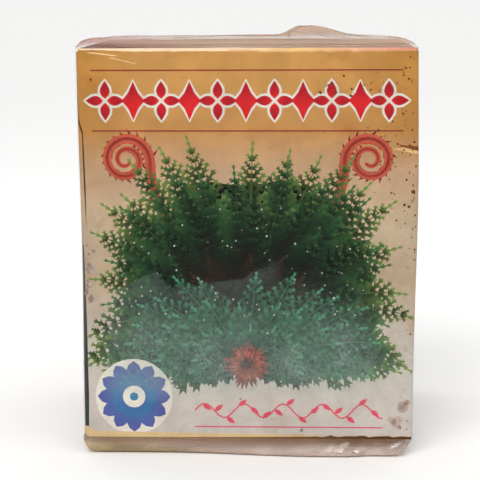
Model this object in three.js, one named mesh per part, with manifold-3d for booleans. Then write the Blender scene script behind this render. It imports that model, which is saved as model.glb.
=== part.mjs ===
// A small printed retail carton in clear overwrap film, holding one dried, curled-up resurrection plant.
// Millimetres, +Z up. The pack stands on z = 0 and its printed front faces -Y.

import * as THREE from 'three';
import { mergeVertices } from 'three/addons/utils/BufferGeometryUtils.js';
import Module from 'manifold-3d';

const wasm = await Module();
wasm.setup();

// ---------- driving dimensions ----------

const CLEARANCE = 0.3; // air between the film, the board and the plant

const FILM = {
  width: 76.0, // outside, left to right
  depth: 57.0, // outside, front to back
  height: 93.4, // outside, floor to the fold along the front's top edge
  layer: 0.3, // one layer
  edgeRadius: 1.2,
};

const BOARD = 0.5; // carton board thickness
const PANEL_FOOT = 4.0; // height of the front panel's lower edge over the floor

const CARTON = {
  width: FILM.width - 2 * (FILM.layer + CLEARANCE),
  depth: FILM.depth - 2 * (FILM.layer + CLEARANCE),
  top: FILM.height - 2 * FILM.layer - CLEARANCE,
  bottom: 2 * FILM.layer + CLEARANCE, // lowest point of the sagging bottom panel
  cornerRadius: 1.0,
  frontLeftRadius: 1.9, // the crushed front left corner
};

const TUCK = { length: 13, creaseRadius: 0.9, sideInset: 1.2 };
const DUST_FLAP = { length: 24.5, rootWidth: 44, tipWidth: 34, neck: 8, tipRadius: 3 };
const GLUE_FLAP = { width: 12, endInset: 4 };

// How the loaded bottom panel sags: flat in the middle, with a steep shoulder at the front and back.
const SAG = { shoulder: 4.6, endRun: 9, endShare: 0.15 };

// The slack film under the panel's lower edge: rounded at the left, cut off at the right, and drawn
// back from the front except for a crumple that stands forward.
const SKIRT = { round: 2.8, cut: 3.2, backRound: 2.4, drawnBack: 3.0 };
const SKIRT_CRUMPLE = { forward: 4.4, x: 20, run: 11 };

// The slack film over the lid, and the crumpled end of its fold.
const TOP_FILM = { puff: 0.8, puffRun: 1.5, dome: 0.5 };
const CRUMPLE = { height: 3.0, x: 13.4, y: 6, flat: 1.6, leftRun: 1.9, rightRun: 7.5, depthRun: 8 };
const FOLD_EDGE_Y = 9; // free edge of the last end fold, on the top and on the bottom

const BACK_LAP = { width: 8, height: 84 };
const SINK = 0.1; // how deep a glued or sealed layer is sunk into the one below it
const VENT = { length: 9, width: 0.5 }; // the unsealed end of the back lap

// Sheet panels are never quite flat: how far each one bows, and how high up.
const BOW = { front: 0.35, back: 0.4, right: 0.55, rightZ: 60, left: -0.35, leftZ: 48, run: 24 };

const PLANT = {
  radiusX: 26,
  radiusY: 22.5,
  height: 48,
  coreShare: 0.7, // the tangled inside, as a share of the outer size
  coreLumps: [0.05, 0.04],
  fronds: 33,
  seed: 20,
};

// The knotty root crown under the ball: how far it reaches into the ball, and its outline as shares.
const CROWN = {
  radius: 8,
  intoBall: 3,
  outline: [[0, 0], [0.75, 0], [1, 0.16], [0.8, 0.6], [0.9, 1], [0, 1]],
};

const FROND = {
  leaflets: 7, // on each side
  width: 7.4,
  ribWidth: 2.0,
  thickness: 0.75,
  arch: 0.22, // how far the edges drop, as a share of the half width
  leafletLead: 0.55, // how far a leaflet's tip runs ahead of its root, in stations
  start: -1.25, // where the rib leaves the crown, as an angle below the ball's equator
  curl: 0.22, // how far the end is drawn in
  layers: [
    { reach: 1.1, size: 0.98 }, // reach is the angle above the equator where the rib ends
    { reach: 1.38, size: 0.9 },
    { reach: 0.9, size: 0.82 },
  ],
};

// ---------- solids ----------

function solidOf(geometry) {
  const bare = geometry.clone();
  bare.deleteAttribute('normal');
  bare.deleteAttribute('uv');
  const merged = mergeVertices(bare, 1e-4);
  return new wasm.Manifold(new wasm.Mesh({
    numProp: 3,
    vertProperties: Float32Array.from(merged.attributes.position.array),
    triVerts: Uint32Array.from(merged.index.array),
  }));
}

function geometryOf(solid) {
  const mesh = solid.getMesh();
  const geometry = new THREE.BufferGeometry();
  geometry.setAttribute('position', new THREE.BufferAttribute(mesh.vertProperties, 3));
  geometry.setIndex(new THREE.BufferAttribute(mesh.triVerts, 1));
  geometry.computeVertexNormals();
  return geometry;
}

function joined(solids) {
  return solids.reduce((whole, piece) => whole.add(piece));
}

// Moves every vertex of a geometry by a function that changes the point it is given.
function reshape(geometry, change) {
  const position = geometry.attributes.position;
  const point = new THREE.Vector3();
  for (let i = 0; i < position.count; i += 1) {
    point.fromBufferAttribute(position, i);
    change(point);
    position.setXYZ(i, point.x, point.y, point.z);
  }
  return geometry;
}

const clamp = THREE.MathUtils.clamp;
const smoothstep = THREE.MathUtils.smoothstep;
const bell = (t) => Math.exp(-t * t);

// A box surface whose grid lines lie at the given places along each axis.
function gridBox(xLines, yLines, zLines) {
  const [nx, ny, nz] = [xLines, yLines, zLines].map((lines) => lines.length - 1);
  const pick = (lines, value) => lines[Math.round(value + (lines.length - 1) / 2)];
  return reshape(new THREE.BoxGeometry(nx, ny, nz, nx, ny, nz), (p) => {
    p.set(pick(xLines, p.x), pick(yLines, p.y), pick(zLines, p.z));
  });
}

// The same bow for the board and the film, so that the film follows the panels.
function bowPanels(p) {
  const along = clamp((p.z - PANEL_FOOT) / (CARTON.top - PANEL_FOOT), 0, 1);
  const across = 1 - (2 * p.x / FILM.width) ** 2;
  const toRight = clamp(2 * p.x / FILM.width, 0, 1);
  const toLeft = clamp(-2 * p.x / FILM.width, 0, 1);
  const toBack = clamp(2 * p.y / FILM.depth, -1, 1);
  const panelBow = toBack < 0 ? BOW.front : BOW.back;
  p.y += panelBow * toBack * across * Math.sin(Math.PI * along);
  p.x += BOW.right * toRight * bell((p.z - BOW.rightZ) / BOW.run);
  p.x -= BOW.left * toLeft * bell((p.z - BOW.leftZ) / BOW.run);
}

// ---------- carton ----------

// A rounded rectangle with its front left corner crushed wider, drawn with a few points on each side.
function wallOutline(inset) {
  const x = CARTON.width / 2 - inset;
  const y = CARTON.depth / 2 - inset;
  const r = CARTON.cornerRadius - inset;
  const crushed = CARTON.frontLeftRadius - inset;
  const outline = new THREE.Path();
  outline.moveTo(-x + crushed, -y);
  outline.lineTo(x - r, -y);
  outline.absarc(x - r, -y + r, r, -Math.PI / 2, 0);
  outline.lineTo(x, y - r);
  outline.absarc(x - r, y - r, r, 0, Math.PI / 2);
  outline.lineTo(-x + r, y);
  outline.absarc(-x + r, y - r, r, Math.PI / 2, Math.PI);
  outline.lineTo(-x, -y + crushed);
  outline.absarc(-x + crushed, -y + crushed, crushed, Math.PI, 1.5 * Math.PI);
  return evenOut(outline.getPoints(2), 13);
}

// Adds points to the long straight stretches of an outline, so that they can bow.
function evenOut(points, longest) {
  return points.flatMap((start, i) => {
    const end = points[(i + 1) % points.length];
    const pieces = Math.max(1, Math.ceil(start.distanceTo(end) / longest));
    return Array.from({ length: pieces }, (_, k) => start.clone().lerp(end, k / pieces));
  });
}

// A strip of board: its centre line lies in the YZ plane, and it runs along X in a few steps, so that
// it can bow.
function boardStrip(centreLine, width, steps) {
  const sideOf = (offset) => centreLine.map((point, i) => {
    const before = centreLine[Math.max(i - 1, 0)];
    const after = centreLine[Math.min(i + 1, centreLine.length - 1)];
    const along = after.clone().sub(before).normalize();
    return new THREE.Vector2(point.x - along.y * offset, point.y + along.x * offset);
  });
  const outline = [...sideOf(BOARD / 2), ...sideOf(-BOARD / 2).reverse()];
  const strip = new THREE.ExtrudeGeometry(new THREE.Shape(outline), {
    depth: width,
    steps,
    bevelEnabled: false,
  });
  return reshape(strip, (p) => p.set(p.z - width / 2, p.x, p.y));
}

function tubeWalls() {
  const height = CARTON.top - PANEL_FOOT;
  const shape = new THREE.Shape(wallOutline(0));
  shape.holes.push(new THREE.Path(wallOutline(BOARD).reverse()));
  const walls = new THREE.ExtrudeGeometry(shape, { depth: height, steps: 8, bevelEnabled: false });
  walls.translate(0, 0, PANEL_FOOT);
  return solidOf(walls);
}

// The side walls stop short by a board's thickness, where the dust flaps fold in under the lid.
function sideWallNotches() {
  const depth = CARTON.depth - 2 * CARTON.frontLeftRadius;
  const notch = BOARD + CLEARANCE;
  const zs = [CARTON.top - notch / 2, PANEL_FOOT + notch / 2];
  return zs.flatMap((z) => [-1, 1].map((side) => {
    const box = new THREE.BoxGeometry(2 * CARTON.cornerRadius + 1, depth, notch);
    box.translate(side * CARTON.width / 2, 0, z);
    return solidOf(box);
  }));
}

// The lid: up the back wall, over the top, and down inside the front as its tuck flap.
function lid() {
  const back = CARTON.depth / 2 - BOARD / 2;
  const top = CARTON.top - BOARD / 2;
  const tuck = -(CARTON.depth / 2 - BOARD - CLEARANCE - BOARD / 2);
  const r = TUCK.creaseRadius;
  const line = new THREE.Path();
  line.moveTo(back, top - r - 2);
  line.lineTo(back, top - r);
  line.absarc(back - r, top - r, r, 0, Math.PI / 2);
  line.lineTo(tuck + r, top);
  line.absarc(tuck + r, top - r, r, Math.PI / 2, Math.PI);
  line.lineTo(tuck, top - TUCK.length);
  return solidOf(boardStrip(line.getPoints(2), CARTON.width - 2 * TUCK.sideInset, 6));
}

// How far the bottom panel hangs below its creases at a place, from 0 to 1.
function sagShare(x, y) {
  const front = smoothstep(y + CARTON.depth / 2 - BOARD, 0, SAG.shoulder);
  const back = smoothstep(CARTON.depth / 2 - y, 0, SAG.shoulder);
  const ends = smoothstep(CARTON.width / 2 - Math.abs(x), 0, SAG.endRun);
  return front * back * THREE.MathUtils.lerp(SAG.endShare, 1, ends);
}

// The bottom closure: the same strip upside down, sagging between its creases.
function bottomClosure() {
  const back = CARTON.depth / 2 - BOARD / 2;
  const foot = PANEL_FOOT + BOARD / 2;
  const tuck = -(CARTON.depth / 2 - BOARD - CLEARANCE - BOARD / 2);
  const r = TUCK.creaseRadius;
  const drop = PANEL_FOOT - CARTON.bottom;
  const line = new THREE.Path();
  line.moveTo(back, foot + r + 2);
  line.lineTo(back, foot + r);
  line.absarc(back - r, foot + r, r, 0, -Math.PI / 2, true);
  const shoulder = [0.25, 0.5, 0.75, 1].map((share) => share * SAG.shoulder);
  for (const run of shoulder) line.lineTo(CARTON.depth / 2 - run, foot);
  for (const run of shoulder.reverse()) line.lineTo(BOARD - CARTON.depth / 2 + run, foot);
  line.lineTo(tuck + r, foot);
  line.absarc(tuck + r, foot + r, r, -Math.PI / 2, -Math.PI, true);
  line.lineTo(tuck, foot + TUCK.length);
  const strip = boardStrip(line.getPoints(2), CARTON.width - 2 * TUCK.sideInset, 12);
  return solidOf(reshape(strip, (p) => {
    const onPanel = 1 - smoothstep(p.z, foot + 0.3, foot + r);
    p.z -= drop * sagShare(p.x, p.y) * onPanel;
  }));
}

// A dust flap: hinged on a side wall at the creases, and folded in under the lid or over the bottom panel.
function dustFlap(side, atTop) {
  const hinge = CARTON.width / 2 - SINK / 2;
  const tip = hinge - DUST_FLAP.length;
  const [root, end, r] = [DUST_FLAP.rootWidth / 2, DUST_FLAP.tipWidth / 2, DUST_FLAP.tipRadius];
  const shape = new THREE.Shape();
  shape.moveTo(hinge, -root);
  shape.lineTo(hinge, root);
  shape.lineTo(hinge - DUST_FLAP.neck, root);
  shape.lineTo(tip + r, end);
  shape.quadraticCurveTo(tip, end, tip, end - r);
  shape.lineTo(tip, -end + r);
  shape.quadraticCurveTo(tip, -end, tip + r, -end);
  shape.lineTo(hinge - DUST_FLAP.neck, -root);
  const plate = new THREE.ExtrudeGeometry(shape, { depth: BOARD, bevelEnabled: false, curveSegments: 3 });
  const gap = BOARD + CLEARANCE;
  const rootZ = atTop ? CARTON.top - gap - BOARD : PANEL_FOOT + gap;
  const fall = atTop ? 0 : rootZ - (CARTON.bottom + gap);
  return solidOf(reshape(plate, (p) => {
    const out = (hinge - p.x) / DUST_FLAP.length;
    p.set(side * p.x, side * p.y, rootZ + p.z - fall * out);
  }));
}

// The glue flap runs on from the left wall and is glued inside the back wall.
function glueFlap() {
  const height = CARTON.top - PANEL_FOOT - 2 * TUCK.creaseRadius - 2 * GLUE_FLAP.endInset;
  const flap = new THREE.BoxGeometry(GLUE_FLAP.width, BOARD + SINK, height, 2, 1, 8);
  flap.translate(
    -CARTON.width / 2 + BOARD / 2 + GLUE_FLAP.width / 2,
    CARTON.depth / 2 - BOARD - BOARD / 2 + SINK / 2,
    (CARTON.top + PANEL_FOOT) / 2,
  );
  return solidOf(flap);
}

function carton() {
  let board = tubeWalls();
  for (const notch of sideWallNotches()) board = board.subtract(notch);
  const flaps = [-1, 1].flatMap((side) => [dustFlap(side, true), dustFlap(side, false)]);
  board = joined([board, glueFlap(), lid(), bottomClosure(), ...flaps]);
  return reshape(geometryOf(board), bowPanels);
}

// ---------- film wrap ----------

// How far the film stands off the lid at a place: puffed up just inside the edges, with one crumple.
function topFilmRise(x, y) {
  const inX = Math.max(FILM.width / 2 - Math.abs(x), 0);
  const inY = Math.max(FILM.depth / 2 - Math.abs(y), 0);
  const [offX, offY] = [inX, inY].map((d) => 1 - Math.exp(-d / TOP_FILM.puffRun));
  const puff = TOP_FILM.puff * offX * offY;
  const dome = TOP_FILM.dome * (1 - (2 * x / FILM.width) ** 2) * (1 - (2 * y / FILM.depth) ** 2);
  const off = x - CRUMPLE.x;
  const beyond = Math.sign(off) * Math.max(Math.abs(off) - CRUMPLE.flat, 0);
  const run = beyond < 0 ? CRUMPLE.leftRun : CRUMPLE.rightRun;
  return puff + dome + CRUMPLE.height * bell(beyond / run) * bell((y - CRUMPLE.y) / CRUMPLE.depthRun);
}

// Draws the film in under the panels' lower edges.
function drawIn(p) {
  const k = clamp((PANEL_FOOT - p.z) / PANEL_FOOT, 0, 1);
  const roundedShare = 1 - Math.sqrt(1 - k * k);
  const left = SKIRT.round * roundedShare;
  const right = SKIRT.cut * k;
  const shareX = clamp(p.x / FILM.width + 0.5, 0, 1);
  const forward = SKIRT_CRUMPLE.forward * bell((p.x - SKIRT_CRUMPLE.x) / SKIRT_CRUMPLE.run);
  const front = (SKIRT.drawnBack - forward) * k;
  const back = SKIRT.backRound * roundedShare;
  const shareY = clamp(p.y / FILM.depth + 0.5, 0, 1);
  p.x += left * (1 - shareX) - right * shareX;
  p.y += front * (1 - shareY) - back * shareY;
}

// Grid lines of one axis: two close lines at each end for the rounded edge, and the given ones between.
function axisLines(low, high, radius, between) {
  const ends = [0, 0.5 * radius, radius];
  return [...ends.map((d) => low + d), ...between, ...ends.map((d) => high - d).reverse()];
}

// One face of the film, outer or inner: a rounded box of the given insets, drawn in below and risen above.
// Outside, the last end fold doubles the film in front of its free edge.
function filmSurface({ inset, floorInset, roofInset, doubled }) {
  const x = FILM.width / 2 - inset;
  const y = FILM.depth / 2 - inset;
  const top = FILM.height - roofInset;
  const r = FILM.edgeRadius - inset;
  const edgeStep = 0.25;
  const surface = gridBox(
    axisLines(-x, x, r, [-26, -12, 2, 8, 10, 12, 15, 18, 22, 28]),
    axisLines(-y, y, r, [-18, -8, 0, FOLD_EDGE_Y - edgeStep, FOLD_EDGE_Y + edgeStep, 15, 21]),
    axisLines(floorInset, top, r, [2, 3, PANEL_FOOT, 14, 30, 46, 62, 78]),
  );
  const low = new THREE.Vector3(-x + r, -y + r, floorInset + r);
  const high = new THREE.Vector3(x - r, y - r, top - r);
  return reshape(surface, (p) => {
    const centre = p.clone().clamp(low, high);
    const out = p.clone().sub(centre);
    const sides = [out.x, out.y, out.z].filter((d) => Math.abs(d) > 1e-6).length;
    if (sides > 1) p.copy(centre).add(out.setLength(r));
    const single = doubled && p.y > FOLD_EDGE_Y ? FILM.layer : 0;
    const overLid = p.z > high.z - 1e-6;
    const onFloor = p.z < floorInset + 1e-6;
    if (overLid) p.z += topFilmRise(p.x, p.y) - single;
    else drawIn(p);
    if (onFloor) p.z += single;
    bowPanels(p);
  });
}

function filmWrap() {
  const ends = 2 * FILM.layer;
  const outside = solidOf(filmSurface({ inset: 0, floorInset: 0, roofInset: 0, doubled: true }));
  const inside = solidOf(filmSurface({
    inset: FILM.layer,
    floorInset: ends,
    roofInset: ends,
    doubled: false,
  }));
  const lapMiddle = (PANEL_FOOT + CARTON.top) / 2;
  const lap = gridBox(
    [-BACK_LAP.width / 2, 0, BACK_LAP.width / 2],
    [FILM.depth / 2 - SINK, FILM.depth / 2 + FILM.layer],
    [-3, -2, -1, 0, 1, 2, 3].map((k) => lapMiddle + k * BACK_LAP.height / 6),
  );
  const vent = new THREE.BoxGeometry(VENT.width, 8 * FILM.layer, VENT.length);
  vent.translate(BACK_LAP.width / 2 + VENT.width, FILM.depth / 2, PANEL_FOOT + VENT.length);
  const sealed = outside.subtract(inside).add(solidOf(reshape(lap, bowPanels)));
  return geometryOf(sealed.subtract(solidOf(vent)));
}

// ---------- dried plant ----------

// A repeatable stream of numbers from 0 to 1.
function seededRandom(seed) {
  let state = seed;
  return () => {
    state = (state * 1664525 + 1013904223) % 4294967296;
    return state / 4294967296;
  };
}

const plantBase = CARTON.bottom + BOARD + CLEARANCE;
const plantCentre = new THREE.Vector3(0, 0, plantBase + PLANT.height / 2);

// The tangled inside: a lumpy ball, flat where the plant stands.
function plantCore() {
  const ball = new THREE.IcosahedronGeometry(1, 5);
  const [broad, fine] = PLANT.coreLumps;
  return solidOf(reshape(ball, (p) => {
    const lump = broad * Math.sin(5 * p.x + 2) * Math.sin(6 * p.y) + fine * Math.sin(7 * p.z + 3 * p.x);
    p.multiplyScalar((1 + lump) * PLANT.coreShare);
    p.set(p.x * PLANT.radiusX, p.y * PLANT.radiusY, p.z * PLANT.height / 2).add(plantCentre);
  }));
}

// The root crown that the fronds grow from, standing on the bottom panel.
function plantCrown() {
  const height = PLANT.height * (1 - PLANT.coreShare) / 2 + CROWN.intoBall;
  const profile = CROWN.outline.map(([out, up]) => new THREE.Vector2(out * CROWN.radius, up * height));
  const crown = new THREE.LatheGeometry(profile, 12);
  crown.rotateX(Math.PI / 2);
  crown.translate(0, 0, plantBase);
  return solidOf(crown);
}

// Where a frond's rib runs: out of the crown, up round the ball, and curled in over its top.
function frondPath({ turn, reach, size, twist }) {
  const last = 7;
  const points = Array.from({ length: last + 1 }, (_, i) => {
    const s = i / last;
    const rise = THREE.MathUtils.lerp(FROND.start, reach, s);
    const draw = size * (1 - FROND.curl * smoothstep(s, 0.7, 1));
    const angle = turn + twist * s * s;
    return new THREE.Vector3(
      Math.cos(rise) * Math.cos(angle) * PLANT.radiusX * draw,
      Math.cos(rise) * Math.sin(angle) * PLANT.radiusY * draw,
      Math.sin(rise) * draw * PLANT.height / 2,
    ).add(plantCentre);
  });
  return new THREE.CatmullRomCurve3(points);
}

// A frond's half width at each station along it: wide at a leaflet's tip, and the rib's in between.
function frondHalfWidths(random) {
  const stations = 2 * FROND.leaflets + 1;
  return Array.from({ length: stations + 1 }, (_, station) => {
    const uneven = 0.85 + 0.3 * random();
    const swell = 0.35 + 0.65 * Math.sin(Math.PI * (0.12 + 0.85 * station / stations));
    if (station === stations) return 0.3 * FROND.ribWidth;
    return (station % 2 ? FROND.width * swell * uneven : FROND.ribWidth) / 2;
  });
}

// A frond: one thin blade, arched across its rib, whose edges are cut into leaflets slanting forwards.
function frond(habit, random) {
  const path = frondPath(habit);
  const halfWidths = frondHalfWidths(random);
  const stations = halfWidths.length - 1;
  const blade = new THREE.BoxGeometry(2, stations, 1, 2, stations, 1);
  return solidOf(reshape(blade, (p) => {
    const station = Math.round(p.y + stations / 2);
    const half = halfWidths[station];
    const lead = station % 2 && p.x !== 0 ? FROND.leafletLead : 0;
    const at = Math.min((station + lead) / stations, 1);
    const rib = path.getPointAt(at);
    const along = path.getTangentAt(at);
    const outward = rib.clone().sub(plantCentre).normalize();
    const side = new THREE.Vector3().crossVectors(along, outward).normalize();
    const up = new THREE.Vector3().crossVectors(side, along);
    const raise = FROND.thickness * p.z - FROND.arch * half * Math.abs(p.x);
    p.copy(rib.addScaledVector(side, half * p.x).addScaledVector(up, raise));
  }));
}

function driedPlant() {
  const random = seededRandom(PLANT.seed);
  const fronds = Array.from({ length: PLANT.fronds }, (_, i) => {
    const { reach, size } = FROND.layers[i % FROND.layers.length];
    return frond({
      turn: 2 * Math.PI * (i + 0.3 * random()) / PLANT.fronds,
      reach: reach + 0.12 * random(),
      size,
      twist: 0.35 * (random() - 0.5),
    }, random);
  });
  return geometryOf(joined([plantCore(), plantCrown(), ...fronds]));
}

// ---------- the pack ----------

function material(color, roughness, extra = {}) {
  return new THREE.MeshStandardMaterial({ color, roughness, metalness: 0, ...extra });
}

function piece(name, geometry, look) {
  const mesh = new THREE.Mesh(geometry, look);
  mesh.name = name;
  return mesh;
}

const pack = new THREE.Group();
pack.add(
  piece('carton', carton(), material(0xc89b5f, 0.55)),
  piece('film_wrap', filmWrap(), material(0xe6e2dc, 0.08, { transparent: true, opacity: 0.3 })),
  piece('dried_plant', driedPlant(), material(0x7a4a2b, 0.9)),
);

export default pack;
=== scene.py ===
import math
import random

import bpy
import numpy as np
from mathutils import Matrix, Vector, noise
from mathutils.geometry import delaunay_2d_cdt


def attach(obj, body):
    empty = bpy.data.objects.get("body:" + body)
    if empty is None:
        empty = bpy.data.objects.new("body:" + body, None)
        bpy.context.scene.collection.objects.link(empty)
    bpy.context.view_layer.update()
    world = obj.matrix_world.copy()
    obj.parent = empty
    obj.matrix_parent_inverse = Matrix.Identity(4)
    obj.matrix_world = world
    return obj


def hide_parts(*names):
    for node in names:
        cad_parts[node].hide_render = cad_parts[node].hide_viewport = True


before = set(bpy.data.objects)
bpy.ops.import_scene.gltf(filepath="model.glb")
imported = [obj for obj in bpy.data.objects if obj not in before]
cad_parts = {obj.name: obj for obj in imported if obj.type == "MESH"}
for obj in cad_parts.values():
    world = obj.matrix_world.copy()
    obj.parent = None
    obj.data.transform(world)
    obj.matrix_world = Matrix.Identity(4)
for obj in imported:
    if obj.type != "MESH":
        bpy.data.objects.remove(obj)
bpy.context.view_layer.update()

# A printed retail carton in clear overwrap film, with one dried resurrection plant inside.
# Sizes are in millimetres in the part's frame: +Z up, the printed front faces -Y, the floor is z = 0.
# Node materials are the exception: Blender gives them places in metres.
MM = 0.001

# ---------- sizes ----------

FILM_WIDTH = 76.0
FILM_DEPTH = 57.0
FILM_HEIGHT = 93.4
PANEL_FOOT = 4.0  # how high up the walls start

AIR = 0.12  # between the film and the board
FILM_LAYER = 0.05
BOARD = 0.5
BOARD_X = FILM_WIDTH / 2 - AIR - FILM_LAYER
BOARD_Y = FILM_DEPTH / 2 - AIR - FILM_LAYER
BOARD_TOP = FILM_HEIGHT - AIR - 3 * FILM_LAYER
BOARD_LOW = 0.4  # the lowest point of the sagging bottom panel

CORNER = 0.7  # radius of an upright crease
CRUSHED_CORNER = 1.9  # the front left one
CREASE = 0.9  # radius of the lid's and the bottom's creases
LID_INSET = 0.7
LID_DOME = 0.9  # how far the closed lid bulges in its middle
TUCK_LENGTH = 13.0
TUCK_PLAY = 0.15  # between a tuck flap and the front wall
NOTCH = 0.8  # how far the side walls stop short of the front's edges
BACK_GAP = 0.3  # how far the back wall stops short of the left one

# The bottom panel hangs below its creases: how far in it is fully down, and how far down its ends are.
SAG_SHOULDER = 4.6
SAG_END_RUN = 9.0
SAG_END_SHARE = 0.15

# Panels are never quite flat: how far each bows out (the left one bows in), and how high up.
BOW_FRONT, BOW_BACK = 0.35, 0.4
BOW_RIGHT, BOW_RIGHT_Z = 0.55, 60.0
BOW_LEFT, BOW_LEFT_Z = -0.35, 48.0
BOW_RUN = 24.0

SHARP = math.radians(42)  # edges that turn more than this are shaded as edges


# ---------- small helpers ----------

def smoothstep(x, low, high):
    t = np.clip((x - low) / (high - low), 0, 1)
    return t * t * (3 - 2 * t)


def bell(t):
    return np.exp(-t * t)


def mix(a, b, t):
    return a + (b - a) * t


def unit(vectors):
    return vectors / np.linalg.norm(vectors, axis=-1, keepdims=True)


def distances(places):
    """How far along a line of points each one lies."""
    return np.concatenate([[0], np.cumsum(np.linalg.norm(np.diff(places, axis=0), axis=1))])


def srgb(*levels):
    """A colour as it looks on a screen, 0 to 255, as linear light."""
    c = np.array(levels, float) / 255
    return np.where(c <= 0.04045, c / 12.92, ((c + 0.055) / 1.055) ** 2.4)


def rgba(*levels):
    return (*srgb(*levels), 1.0)


def noise_at(p, scale, seed=0.0):
    """Smooth noise from about -1 to 1 at each point, with features about 1/scale millimetres wide."""
    places = p * scale + np.array([seed, -seed, 2 * seed])
    return np.array([noise.noise(place) for place in places.tolist()])


def swell(x, y):
    """How far a sheet held along the box's edges bulges at a place: 1 in the middle, 0 at the edges."""
    return (1 - (2 * x / FILM_WIDTH) ** 2) * (1 - (2 * y / FILM_DEPTH) ** 2)


def bowed(p):
    """The same bow for the board and the film, so that the film follows the panels."""
    p = p.copy()
    along = np.clip((p[:, 2] - PANEL_FOOT) / (BOARD_TOP - PANEL_FOOT), 0, 1)
    across = 1 - (2 * p[:, 0] / FILM_WIDTH) ** 2
    to_right = np.clip(2 * p[:, 0] / FILM_WIDTH, 0, 1)
    to_left = np.clip(-2 * p[:, 0] / FILM_WIDTH, 0, 1)
    to_back = np.clip(2 * p[:, 1] / FILM_DEPTH, -1, 1)
    panel_bow = np.where(to_back < 0, BOW_FRONT, BOW_BACK)
    p[:, 1] += panel_bow * to_back * across * np.sin(math.pi * along)
    p[:, 0] += BOW_RIGHT * to_right * bell((p[:, 2] - BOW_RIGHT_Z) / BOW_RUN)
    p[:, 0] -= BOW_LEFT * to_left * bell((p[:, 2] - BOW_LEFT_Z) / BOW_RUN)
    return p


def new_object(name, data, matrix=Matrix()):
    thing = bpy.data.objects.new(name, data)
    bpy.context.scene.collection.objects.link(thing)
    thing.matrix_world = matrix
    return thing


def mesh_piece(name, points, faces, material, cad_slot, *nodes):
    """A mesh from points in millimetres, riding on the part's one body in place of the CAD nodes."""
    mesh = bpy.data.meshes.new(name)
    mesh.from_pydata((points * MM).tolist(), [], faces)
    mesh.materials.append(material)
    mesh.shade_smooth()
    mesh.set_sharp_from_angle(angle=SHARP)
    piece = new_object(name, mesh)
    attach(piece, "root")
    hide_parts(*nodes)
    return piece


# ---------- node materials ----------

class Nodes:
    """Short names for building one node material around a single Principled shader."""

    def __init__(self, name):
        self.material = bpy.data.materials.new(name)
        self.material.use_nodes = True
        self.tree = self.material.node_tree
        self.shader = self.tree.nodes["Principled BSDF"]
        self.place = self.tree.nodes.new("ShaderNodeTexCoord").outputs["Object"]

    def link(self, value, socket):
        if hasattr(value, "is_output"):
            self.tree.links.new(value, socket)
        else:
            socket.default_value = value

    def set(self, **values):
        for key, value in values.items():
            self.link(value, self.shader.inputs[key.replace("_", " ")])

    def add(self, kind, inputs, **settings):
        """A new node. Its inputs are values or other nodes' outputs."""
        node = self.tree.nodes.new(kind)
        for key, value in settings.items():
            setattr(node, key, value)
        for key, value in inputs.items():
            self.link(value, node.inputs[key])
        return node

    def attribute(self, name):
        return self.add("ShaderNodeAttribute", {}, attribute_name=name).outputs

    def parts(self, vector):
        return self.add("ShaderNodeSeparateXYZ", {0: vector}).outputs

    def noise(self, scale, detail, rough=0.5, stretch=None):
        """Noise with features about 1/scale metres wide, from 0 to 1."""
        place = self.place
        if stretch is not None:
            place = self.add("ShaderNodeMapping", {"Vector": place, "Scale": stretch}).outputs["Vector"]
        inputs = {"Vector": place, "Scale": scale, "Detail": detail, "Roughness": rough}
        return self.add("ShaderNodeTexNoise", inputs).outputs["Fac"]

    def ramp(self, value, low, high, out_low=0.0, out_high=1.0):
        inputs = {"Value": value, "From Min": low, "From Max": high, "To Min": out_low, "To Max": out_high}
        return self.add("ShaderNodeMapRange", inputs, interpolation_type="SMOOTHSTEP").outputs["Result"]

    def times(self, a, b):
        return self.add("ShaderNodeMath", {0: a, 1: b}, operation="MULTIPLY").outputs[0]

    def plus(self, a, b):
        return self.add("ShaderNodeMath", {0: a, 1: b}, operation="ADD").outputs[0]

    def mix(self, share, a, b, kind="MIX"):
        inputs = {"Factor": share, "A": a, "B": b}
        return self.add("ShaderNodeMix", inputs, data_type="RGBA", blend_type=kind).outputs["Result"]

    def bump(self, height, distance, strength, under=None):
        inputs = {"Height": height, "Distance": distance, "Strength": strength}
        if under is not None:
            inputs["Normal"] = under
        return self.add("ShaderNodeBump", inputs).outputs["Normal"]


def printed_board():
    """Printed and varnished board. The print is painted on the faces; here it gets its ink's unevenness."""
    n = Nodes("printed_board")
    cloudy = n.ramp(n.noise(160, 4, 0.6), 0.3, 0.72, 0.9, 1.08)
    grain = n.ramp(n.noise(2600, 2, 0.6), 0.3, 0.7, 0.93, 1.05)
    ink = n.mix(1.0, n.attribute("ink")["Color"], n.times(cloudy, grain), "MULTIPLY")
    stained = n.ramp(n.noise(90, 5, 0.65), 0.56, 0.78, 0.0, 0.8)
    n.set(
        Base_Color=n.mix(stained, ink, rgba(240, 214, 176), "MULTIPLY"),
        Roughness=n.ramp(n.noise(700, 3), 0.3, 0.7, 0.42, 0.58),
        Specular_IOR_Level=0.06,
        Normal=n.bump(n.noise(5200, 3, 0.6), 0.00004, 0.35),
    )
    return n.material


# ---------- flat design: outlines and their colours ----------
# A shape is an outline in the plane of its sheet, with a colour that runs from `inner` at `start`
# to `outer` at `end`.

def shape(outline, inner, outer=None, start=(0, 0), end=(0, 1)):
    return {
        "outline": np.array(outline, float),
        "inner": np.array(inner, float),
        "outer": np.array(inner if outer is None else outer, float),
        "start": np.array(start, float),
        "end": np.array(end, float),
    }


def shape_colour(s, points):
    run = s["end"] - s["start"]
    t = np.clip((points - s["start"]) @ run / (run @ run), 0, 1)
    return mix(s["inner"], s["outer"], t[:, None])


def shifted(shapes, by):
    """Shapes drawn about a panel's middle, moved to that panel's place on the flat sheet."""
    step = np.array([by, 0.0])
    moves = ("outline", "start", "end")
    return [{key: value + step if key in moves else value for key, value in s.items()} for s in shapes]


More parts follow.
